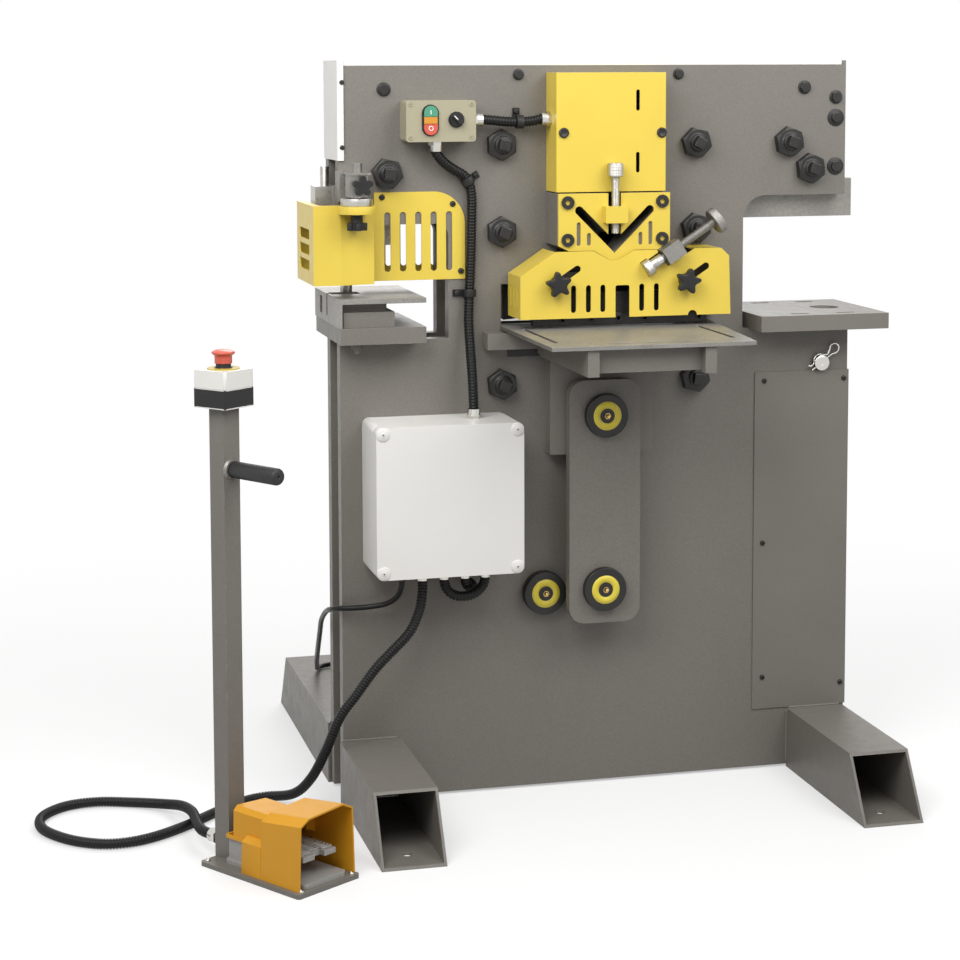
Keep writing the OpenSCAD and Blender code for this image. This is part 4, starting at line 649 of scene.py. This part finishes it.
b_lo, b_hi = box("cylinder_barrel")
rod_x = (b_lo.x + b_hi.x) / 2
hose_routes = {
    "oil_hose_upper": [(rod_x, 61.5, 725), (rod_x, 81.5, 725), (446, 120, 712), (430, 170, 690),
                       (390, 240, 620), (320, 290, 530), (250, 300, 466), (185, 300, 447),
                       (165, 300, 447)],
    "oil_hose_lower": [(rod_x, 61.5, b_lo.z + 22), (rod_x, 81.5, b_lo.z + 22), (446, 115, 530),
                       (430, 160, 510), (380, 220, 470), (310, 270, 430), (240, 280, 416),
                       (185, 280, 412), (165, 280, 412)],
}
for name, route in hose_routes.items():
    s = Shape()
    pts = curve_points(route, 3)[0]
    tube(s, pts, lambda i: 9.6 + 0.25 * math.sin(i * 2.4))
    for end, inner in ((pts[0], pts[6]), (pts[-1], pts[-7])):
        d = (inner - end).normalized()
        lathe(s, end, d, [(0, 0), (12, 0), (12, 9), (10.4, 9)], 6, 1, False)
        lathe(s, end, d, [(10.4, 9), (11.2, 10), (11.2, 14), (10.3, 15), (11.2, 16), (11.2, 20),
                          (10.3, 21), (11.2, 22), (11.2, 27), (9.6, 28)], 24, 1)
    piece = s.piece(name, "root", [MATS["conduit_black"], MATS["nickel"]], "conduit_black")
    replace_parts(piece, "oil_hoses")

# ------------------------------------------------------------------ two-colour CAD nodes

# Nickel glands, but black clips and a black gland for the motor cable
clips = ((-255.6, 1158.5), (-253, 951), (-161, 1266.5))
also("cable_fittings", "nickel", lambda c, n: not any(
    math.hypot(c.x - x, c.z - z) < 34 for x, z in clips) and abs(c.x + 395) > 15)

# Black parts and the pilot lamp in front of the control station's lid
station_face = s_lo.y + 6
push_x, switch_x, switch_z = s_lo.x + 44.6, s_lo.x + 92.8, push_z + 1
also("control_station", "black_plastic", lambda c, n: c.y < station_face - 0.05)
also("control_station", "amber", lambda c, n: c.y < station_face - 0.05
     and abs(c.x - push_x) < 12.6 and abs(c.z - push_z) < 6.4)

# Yellow plate and black collar on the emergency stop's housing
stop_lo, stop_hi = box("estop_box")
stop_x, stop_y = (stop_lo.x + stop_hi.x) / 2, (stop_lo.y + stop_hi.y) / 2
plate_z = stop_hi.z - 18                 # top of the housing's lid
also("estop_box", "dull_yellow", lambda c, n: c.z > plate_z + 0.1)
also("estop_box", "black_plastic", lambda c, n: c.z > plate_z + 0.1
     and math.hypot(c.x - stop_x, c.y - stop_y) < 16.2)

# Dark bolts on the guard of the angle shear, and bare metal where parts aren't painted
also("angle_guard", "black_steel", lambda c, n: c.y < box("angle_guard")[1].y - 4.05)
also("angle_guard", "black_steel", lambda c, n: abs(c.x - VEE_X) < 6 and abs(c.z - 1049) < 6)
also("screw_holders", "rolled_steel", lambda c, n: c.z < 1079)
also("screw_holders", "black_steel", lambda c, n: c.z < 990 and c.y < -140)
also("feed_table", "rolled_steel", lambda c, n: abs(n.z) < 0.5)
also("guard_bracket", "rolled_steel", lambda c, n: abs(n.z) < 0.5)
also("pump_motor", "black_plastic", lambda c, n: c.x < -139)
also("beam", "rolled_steel", lambda c, n: abs(n.y) < 0.5)
for node, name in (("cable_fittings", "black_plastic"), ("beam", "ground_steel"),
                   ("die_set", "frame_paint"), ("stripper", "ground_steel"),
                   ("feed_table", "ground_steel")):
    NODES[node].data.materials[0] = MATS[name]

# ------------------------------------------------------------------ small fastenings

# Screws of the side panels, covers and cable clips
s = Shape()
sheet = 2.5
for x, z in ((-415, 1130.6), (-282, 1116.4), (-267, 992)):
    button_head(s, (x, front - sheet, z), FRONT, 5.5, 3.4)
    button_head(s, (x, rear + sheet, z), REAR, 5.5, 3.4)
for x, z in ((332.8, 764.4), (332.2, 447.8), (333.7, 182.4), (497, 161.8), (497, 764.4)):
    button_head(s, (x, front - sheet, z), FRONT, 5, 3.2)
    button_head(s, (x, rear + sheet, z), REAR, 5, 3.2)
for x, z in ((-161, 1285), (-239.1, 1168), (-275.4, 951)):
    button_head(s, (x, front - 6.5, z), FRONT, 5, 2.6)
for x, z in ((-88, 1246.6), (100.7, 1245.6)):
    lathe(s, (x, c_lo.y, z), FRONT,
          [(9.5, 0), (9.5, 2), (8.6, 3.4), (6.4, 4), (5.6, 3), (0, 2.8)], 28)
for z in (1222, 1340):
    button_head(s, (-488, -68, z), FRONT, 4.5, 2.6)
s.piece("panel_screws", "root", [MATS["black_steel"], MATS["socket_dark"]], "black_steel")

# Gib screws: chamfered nut, locking collar and square head. Each row is x, z, turn of the nut
# and turn of the head. The frame's own bolts follow: x, z, washer's radius, width across flats
s = Shape()
for x, z, nut_turn, head_turn in (
        (-405.5, 1173.7, 0.3, 0.1), (421, 1172.7, 0.1, 0.3), (-190, 1224, 0.02, 0.2),
        (190, 1224, 0.28, 0.5), (-190, 1063, 0.02, 0.33), (190, 1063, 0.2, 0.2),
        (-190, 778, 0.1, 0.4), (190, 778, 0.25, 0.1), (377, 1223.7, 0.15, 0.3)):
    for sign, axis in ((-1, FRONT), (1, REAR)):
        at = Vector((x, sign * rear, z))
        hex_nut(s, at, axis, 51, 18, nut_turn)
        lathe(s, at, axis, [(24, 18), (20, 18.2), (16, 18), (16, 22.8), (15.2, 24), (10, 24)], 40)
        slab(s, at + Vector((0, sign * 31, 0)), (21, 14, 21), bevel=2.2,
             turn=Matrix.Rotation(head_turn, 4, "Y"))
        # shank, and the pad that bears on the gib
        lathe(s, at, axis, [(11.9, 0), (11.9, -28.5), (18, -28.5), (18, -33.3), (0, -33.3)], 28)
for x, z, washer, across in ((-410, 1327, 13, 18), (410, 1327, 13, 18), (-156, 1353, 10.5, 14.5),
                             (156, 1353, 10.5, 14.5), (474.5, 1308, 13, 18),
                             (474.6, 1269, 16.5, 18), (474.8, 1176, 16.5, 18)):
    lathe(s, (x, front, z), FRONT, [(washer, 0), (washer, 1.6), (washer - 0.5, 2), (5, 2)], 36)
    hex_nut(s, (x, front - 2, z), FRONT, across, 6, 0.2 + x / 300)
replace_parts(s.piece("frame_nuts", "root", MATS["black_steel"], "black_steel"), "frame_screws")

# Five-pointed knobs of the guard's studs
STUD_Z = 971.5
for name, body, x, turn in (("star_knob_left", "star_left", -109, -1.43),
                            ("star_knob_right", "star_right", 140, 3.23)):
    at = Vector((x, box(name)[1].y, STUD_Z))
    s = Shape()
    lathe(s, at, FRONT, [(7, 0), (13.4, 0), (14, 0.6), (13, 9.4), (14.6, 10)], 36)
    star(s, at + Vector((0, -9.5, 0)), FRONT, 24.4, 14.5, turn)
    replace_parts(s.piece(f"{name}_moulded", body, MATS["black_plastic"], "black_plastic"), name)

# Hold-down bar of the flat shear, behind the guard's window and slots
s = Shape()
table_top = box("feed_table")[1].z
slab(s, (23, -118, table_top + 34), (338, 18, 62), bevel=2.0)
slab(s, (23, -126, table_top + 14), (338, 8, 21), bevel=1.5)
for x in (-90, -34, 18, 70, 176):
    lathe(s, (x, -130, table_top + 15), FRONT,
          [(7, -1), (7, 1.2), (6.2, 2), (3.6, 2), (3.6, 0), (0, 0)], 24)
s.piece("holddown_bar", "root", MATS["black_steel"], "black_steel")

# Lid screws of the control station and of the electrical enclosure
s = Shape()
for x in (-371.8, -258.5):
    for z in (1240.2, 1300.4):
        lathe(s, (x, station_face, z), FRONT,
              [(4.8, 0), (4.8, 0.6), (4.3, 1.0), (3.1, 1.0), (2.9, 0.5)], 24)
        cross_head(s, (x, station_face, z), FRONT, 2.9, 0.8)
s.piece("station_screws", "root", [MATS["station_paint"], MATS["socket_dark"]], "station_paint")

s = Shape()
inset, lid_y = 12.5, box("enclosure_lid")[0].y
for x in (e_lo.x + inset, e_hi.x - inset):
    for z in (e_lo.z + inset, e_hi.z - inset):
        lathe(s, (x, lid_y, z), FRONT, [(12.2, -1), (12.2, 0.9), (11.4, 1.5), (0, 1.7)])
        cross_head(s, (x, lid_y - 1.2, z), FRONT, 4.6, 0.9, turn=0.2)
s.piece("enclosure_screws", "root", [MATS["white_paint"], MATS["socket_dark"]], "white_paint")

# ------------------------------------------------------------------ pin caps


def pin_cap(name, body, x, z, y, sign):
    """Plain yellow ring and a brass grease nipple on the cap of a pin."""
    c = Shape()
    axis = (0, sign, 0)
    lathe(c, (x, y, z), axis, [(14, 0), (14.2, 0.5), (26.8, 0.5), (27, 0)], 48)
    lathe(c, (x, y, z), axis, [(6, 0), (6, 3), (0, 3)], 6, 1, False)
    lathe(c, (x, y, z), axis, [(3.4, 3), (3.4, 5), (2.1, 6), (3.2, 7.4), (2.6, 8.6), (0, 9)], 20, 1)
    c.piece(name, body, [MATS["label_yellow"], MATS["brass"]], "guard_yellow")


CAP_DEPTH = 7                            # from the end of a pin to the face of its cap's ring
link_y, pivot_y = box("link_pins")[1].y - CAP_DEPTH, box("pivot_pins")[1].y - CAP_DEPTH
for sign, side in ((-1, "front"), (1, "rear")):
    pin_cap(f"link_cap_low_{side}", "beam", -9.57, 394, sign * link_y, sign)
    pin_cap(f"link_cap_high_{side}", "beam", -7.07, 722, sign * link_y, sign)
    pin_cap(f"frame_pin_cap_{side}", "root", -109, 379, sign * pivot_y, sign)

# Hairpin through the end of the clevis pin. Its free leg, from the ninth point on, lies in front
CLEVIS_Z = 797
clevis = Vector((rod_x, front - 8, CLEVIS_Z))
along, across = Vector((0.80, 0, 0.60)), Vector((-0.60, 0, 0.80))
hair = [(-24, 0), (-8, 0), (10, 0), (26, 0), (34, -3), (42, -2), (47, 5), (44, 13), (35, 15),
        (28, 10), (20, 6), (13, 9), (7, 15.5), (0, 17.5), (-7, 15.5), (-13, 9), (-20, 8), (-25, 12)]
s = Shape()
pts = curve_points([clevis + a * along + b * across + Vector((0, -0.8 * (i > 8), 0))
                    for i, (a, b) in enumerate(hair)], 1.5)[0]
tube(s, pts, 1.7, 10)
lathe(s, (rod_x, front - 12, CLEVIS_Z), FRONT,
      [(15, 0), (14.4, 0.8), (5, 0.9), (4, 0.3), (0, 0.3)])
s.piece("hairpin", "root", MATS["nickel"], "bare_steel")

# ------------------------------------------------------------------ hand screws

# Adjusting screw of the flat guard
slope = math.radians(33)
screw_dir = Vector((math.cos(slope), 0, math.sin(slope)))
adjust = Vector((66, -161, 997))
s = Shape()
knurled(s, adjust - 7 * screw_dir, screw_dir, 16, 15, 30)
turned(s, adjust, screw_dir, 10.5, 32, bevel=1.0, h0=8)
threaded(s, adjust + 32 * screw_dir, screw_dir, 8, 118, 2.5, 1)
knurled(s, adjust + 150 * screw_dir, screw_dir, 24.8, 15, 44, 1)
turned(s, adjust, screw_dir, 22.5, 165.4, sides=40, h0=163)
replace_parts(s.piece("guard_adjusting_screw", "flat_guard",
                    [MATS["bare_steel"], MATS["rolled_steel"]], "bare_steel"), "guard_adjuster")

# Hold-down screw of the angle shear
s = Shape()
h_lo, h_hi = box("angle_holddown")
hx, hy = (h_lo.x + h_hi.x) / 2, (h_lo.y + h_hi.y) / 2
threaded(s, (hx, hy, h_lo.z), UP, 8, 104)
knurled(s, (hx, hy, h_hi.z - 25), UP, 15, 25, 30)
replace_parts(s.piece("angle_screw", "angle_screw", MATS["bare_steel"], "bare_steel"),
            "angle_holddown")

# ------------------------------------------------------------------ controls

# A bar on the start button, a ring on the stop button, and a bar on the selector's grip
BUTTON_Z = 14.5                          # from between the buttons to the middle of each
s = Shape()
slab(s, (push_x, box("start_button")[0].y - 0.1, push_z + BUTTON_Z), (1.7, 0.6, 7.5), bevel=0.15)
s.piece("start_mark", "start_button", MATS["white_mark"])
s = Shape()
o_centre = Vector((push_x, box("stop_button")[0].y, push_z - BUTTON_Z))
tube(s, [o_centre + 3.8 * Vector((math.cos(t), 0, math.sin(t))) for t in circle(32, True)], 0.8, 8,
     caps=False)
s.piece("stop_mark", "stop_button", MATS["white_mark"])
s = Shape()
tilt = Matrix.Rotation(math.radians(-45), 4, "Y")
slab(s, Vector((switch_x, box("selector_switch")[0].y - 0.1, switch_z)) + tilt @ Vector((0, 0, 5)),
     (1.7, 0.6, 9.5), bevel=0.15, turn=tilt)
s.piece("selector_mark", "selector", MATS["white_mark"])

# ------------------------------------------------------------------ pedal station

local = Matrix.Translation((-667, -396, 0)) @ Matrix.Rotation(math.radians(-56.5), 4, "Z")
square = local.to_3x3().to_4x4()         # the pedal's turn without its place
ax = local.to_3x3() @ Vector((1, 0, 0))
post = Vector((-109, -19, 0))            # post of the pedal station, in the pedal's own frame

# Rubber grip and the collar at its foot
GRIP_Z = 688
s = Shape()
prof = [(10, 0.2), (14, 0.4), (14.5, 1.6), (14.5, 108), (13.8, 110.4), (12.4, 112.4), (3.4, 113),
        (2.4, 112.4), (2.2, 108), (0, 107.6)]
lathe(s, local @ (post + Vector((23, 0, GRIP_Z))), ax, prof, 36)
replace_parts(s.piece("grip_sleeve", "root", MATS["grip_rubber"], "grip_rubber"), "pedal_grip")
s = Shape()
lathe(s, local @ (post + Vector((17.6, 0, GRIP_Z))), ax,
      [(19, 0), (18.4, 1.4), (17.2, 3.2), (17.1, 5.2), (14.6, 5.4)], 36)
s.piece("handle_collar", "root", MATS["rolled_steel"], "bare_steel")

# Lower half of the emergency stop's housing, a cast base with a knock-out at each side
estop_turn = local @ Matrix.Translation(post) @ Matrix.Rotation(math.radians(6), 4, "Z")
s = Shape()
slab(s, estop_turn @ Vector((0, 0, stop_lo.z + 16.9)), (72.2, 72.2, 33.8), bevel=2.6,
     turn=estop_turn.to_3x3().to_4x4())
for sign in (1, -1):
    face = estop_turn @ Vector((0, sign * 36.1, stop_lo.z + 17))
    out = estop_turn.to_3x3() @ Vector((0, sign, 0))
    lathe(s, face, out, [(10.5, -0.2), (10.3, 0.35), (9.6, 0.35), (9.3, -0.15), (0, -0.1)], 40)
s.piece("estop_base", "root", MATS["black_plastic"], "black_plastic")

# Screws of the base plate and of the emergency stop's lid
s = Shape()
for x, y in ((-112, 60), (112, 58), (112, -58), (-118, -62)):
    lathe(s, local @ Vector((x, y, 8)), UP,
          [(4.6, 0), (4.6, 2), (3.8, 3), (2.6, 3), (2.4, 1.6), (0, 1.6)], 20)
for x in (-30, 30):
    for y in (-30, 30):
        cross_head(s, estop_turn @ Vector((x, y, plate_z)), UP, 3, 0.8)
s.piece("pedal_screws", "root", [MATS["nickel"], MATS["socket_dark"]], "bare_steel")

# Cast treadle with wavy ribs and a notched toe
s = Shape()
for x0, x1, y0, y1 in ((-15, 84, -38, 38), (83, 96, -38, -11), (83, 96, 11, 38)):
    slab(s, local @ Vector(((x0 + x1) / 2, (y0 + y1) / 2, 51.8)), (x1 - x0, y1 - y0, 9.6),
         bevel=1.4, turn=square)
ribs = 11
for i in range(ribs):
    for y0, y1 in ((-36, -13), (13, 36)) if i == ribs - 1 else ((-36, 36),):
        ridge = [local @ Vector((10 + 7.6 * i + 1.5 * math.sin(y / 3.4), y, 57.6))
                 for y in range(y0, y1 + 1)]
        tube(s, ridge, 2.4, 8)
lathe(s, local @ Vector((-15, -38, 52)), local.to_3x3() @ Vector((0, 1, 0)),
      [(4.2, 0), (8.6, 0), (9, 0.5), (9, 75.5), (8.6, 76), (4.2, 76), (4.2, 0)], 28)
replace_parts(s.piece("treadle_casting", "treadle", MATS["grey_casting"], "grey_casting"), "treadle")

# Back fold of the punch guard
s = Shape()
slab(s, (-527, 44.6, 1036), (48, 2.5, 116), bevel=0.5)
slab(s, (-503.6, 41, 1036), (2.5, 8, 116), bevel=0.5)
s.piece("punch_guard_back", "punch_guard", MATS["guard_yellow"], "guard_yellow")

# Overlapping rubber strips behind the angle opening, under a screwed steel strip
s = Shape()
for k in range(8):
    slab(s, (-81.7 + 25 * k, rear + 1.0 + 1.7 * (k % 2), 1083), (28, 1.6, 150), bevel=0.4)
strip_z = 1152
slab(s, (VEE_X, rear + 4.2, strip_z), (203, 1.6, 14), 1, 0.4)
for x in (-86, VEE_X, 98):
    button_head(s, (x, rear + 5, strip_z), REAR, 4.5, 2.6, 1, 2)
s.piece("rear_vee_flap", "root", [MATS["grip_rubber"], MATS["black_steel"], MATS["socket_dark"]],
        "black_plastic")

# ------------------------------------------------------------------ weld beads

s = Shape()
seams = (front - 1, rear + 1)
f_lo, f_hi = box("feet")
FOOT_W = 115
for outer, inner in ((f_lo.x, f_lo.x + FOOT_W), (f_hi.x, f_hi.x - FOOT_W)):
    for y in seams:
        x0, x1 = sorted((outer, inner))
        weld(s, (x0 + 4, y, f_hi.z + 1), (x1 - 4, y, f_hi.z + 1), 3.2)
        weld(s, (inner, y, 8), (inner, y, f_hi.z - 2), 3.0)
bo_lo, bo_hi = box("punch_bolster")
table = box("tool_table")
under = table[1].z - 31
for a, b in ((bo_lo.x + 14, bo_hi.x - 2), (table[0].x + 2, 500)):
    for y in seams:
        weld(s, (a, y, under), (b, y, under), 2.6)
ts_lo, ts_hi = box("table_support")
weld(s, (ts_lo.x + 4, front - 1, ts_hi.z - 31), (-106, front - 1, ts_hi.z - 31), 2.4)
weld(s, (-104, front - 1, 654), (-104, front - 1, 840), 2.4)
for x in (-126, -105.5, 88.5, 109):
    weld(s, (x, ts_lo.y + 315, 836), (x, ts_lo.y + 315, 876), 2.0)
s.piece("weld_beads", "root", MATS["frame_paint"], "frame_paint")

# ------------------------------------------------------------------ power unit details

# Filler cap, lid screws, drain plug and level gauge of the tank
k_lo, k_hi = box("oil_tank")
deck_z, cap_x, cap_y = k_hi.z - 22, 170, 450
s = Shape()
turned(s, (cap_x, cap_y, deck_z), UP, 22.2, 23, 1, 2.0, 40)
for t in circle(20):
    slab(s, (cap_x + 22 * math.cos(t), cap_y + 22 * math.sin(t), k_hi.z - 10), (3, 3, 17), 1, 0.8,
         Matrix.Rotation(t, 4, "Z"))
for x in (-200, -70, 70, 200):
    for y in (k_lo.y + 8, k_hi.y - 8):
        button_head(s, (x, y, deck_z), UP, 5.5, 3.2, 2, 2)
turned(s, (150, k_hi.y - 8, 160), REAR, 13, 7, 2, 1, 6)
slab(s, (0, k_hi.y - 6, 255), (26, 8, 120), 2, 2.5)
slab(s, (0, k_hi.y - 3, 255), (12, 8, 92), bevel=2.0)
for z in (205, 305):
    turned(s, (0, k_hi.y - 3, z), REAR, 6, 5.5, 2, sides=6)
s.piece("tank_fittings", "root", [MATS["white_mark"], MATS["black_plastic"], MATS["black_steel"]],
        "black_plastic")

# Fan grille of the motor, its flange bolts and the screws of its terminal box
axle = Vector((-70, 345, box("pump_motor")[1].z))
s = Shape()
for r in (24, 42, 60, 76):
    ring = [axle + Vector((r * math.cos(t), r * math.sin(t), 0.2)) for t in circle(48, True)]
    tube(s, ring, 1.6, 6, caps=False)
for t in circle(8):
    slab(s, axle + 50 * Vector((math.cos(t), math.sin(t), 0)), (60, 2.5, 2.0), bevel=0.4,
         turn=Matrix.Rotation(t, 4, "Z"))
for t in (math.pi / 4 + q for q in circle(4)):
    turned(s, (axle.x + 86 * math.cos(t), axle.y + 86 * math.sin(t), 401), UP, 7, 6, 1, 0.8, 6)
for y in (310, 380):
    for z in (508, 576):
        cross_head(s, (-220, y, z), (-1, 0, 0), 4, 2, 1, 1)
s.piece("motor_details", "root", [MATS["motor_paint"], MATS["black_steel"]], "motor_paint")

# ------------------------------------------------------------------ edges of the CAD nodes

# Width of the bevel on each CAD node that stays in view, in millimetres
SOFT = {"front_plate": 1.0, "rear_plate": 1.0, "feet": 1.6, "end_cover": 0.5, "links": 1.2,
        "angle_block": 1.5, "angle_guard": 0.5, "top_cover": 0.6, "flat_guard": 0.5,
        "punch_panels": 0.5, "punch_guard": 0.5, "feed_table": 0.6, "tool_table": 1.2,
        "punch_bolster": 1.2, "stripper": 0.8, "die_set": 0.8, "table_support": 1.0,
        "enclosure_body": 1.5, "enclosure_lid": 2.5, "control_station": 1.2, "estop_box": 1.4,
        "beam": 0.8, "guard_bracket": 1.5, "screw_holders": 0.8, "pivot_pins": 2.0,
        "link_pins": 2.0, "post_knob": 1.6, "guard_knob": 1.6, "pedal_base": 0.8,
        "pedal_guard": 0.8, "pedal_frame": 0.8, "oil_tank": 1.2, "pump_motor": 1.0,
        "valve_block": 1.0, "punch_ram": 1.2, "punch": 0.6, "access_panel": 0.5,
        "lower_blades": 0.4, "upper_blades": 0.4, "rocker": 1.0, "cylinder_barrel": 1.0,
        "cable_fittings": 0.5, "start_button": 0.8, "stop_button": 0.8, "selector_switch": 0.8,
        "estop_button": 1.2, "guard_post": 0.8, "frame_spacers": 1.0}
for node, width in SOFT.items():
    o = NODES[node]
    o.modifiers.new("join", "WELD").merge_threshold = 0.00002
    flat = o.modifiers.new("flats", "DECIMATE")
    flat.decimate_type, flat.angle_limit, flat.delimit = "DISSOLVE", math.radians(0.4), {"MATERIAL"}
    b = o.modifiers.new("edges", "BEVEL")
    b.width, b.segments, b.limit_method = width * MM, 2, "ANGLE"
    b.angle_limit, b.use_clamp_overlap, b.harden_normals = math.radians(32), True, True
    b.profile = 0.6
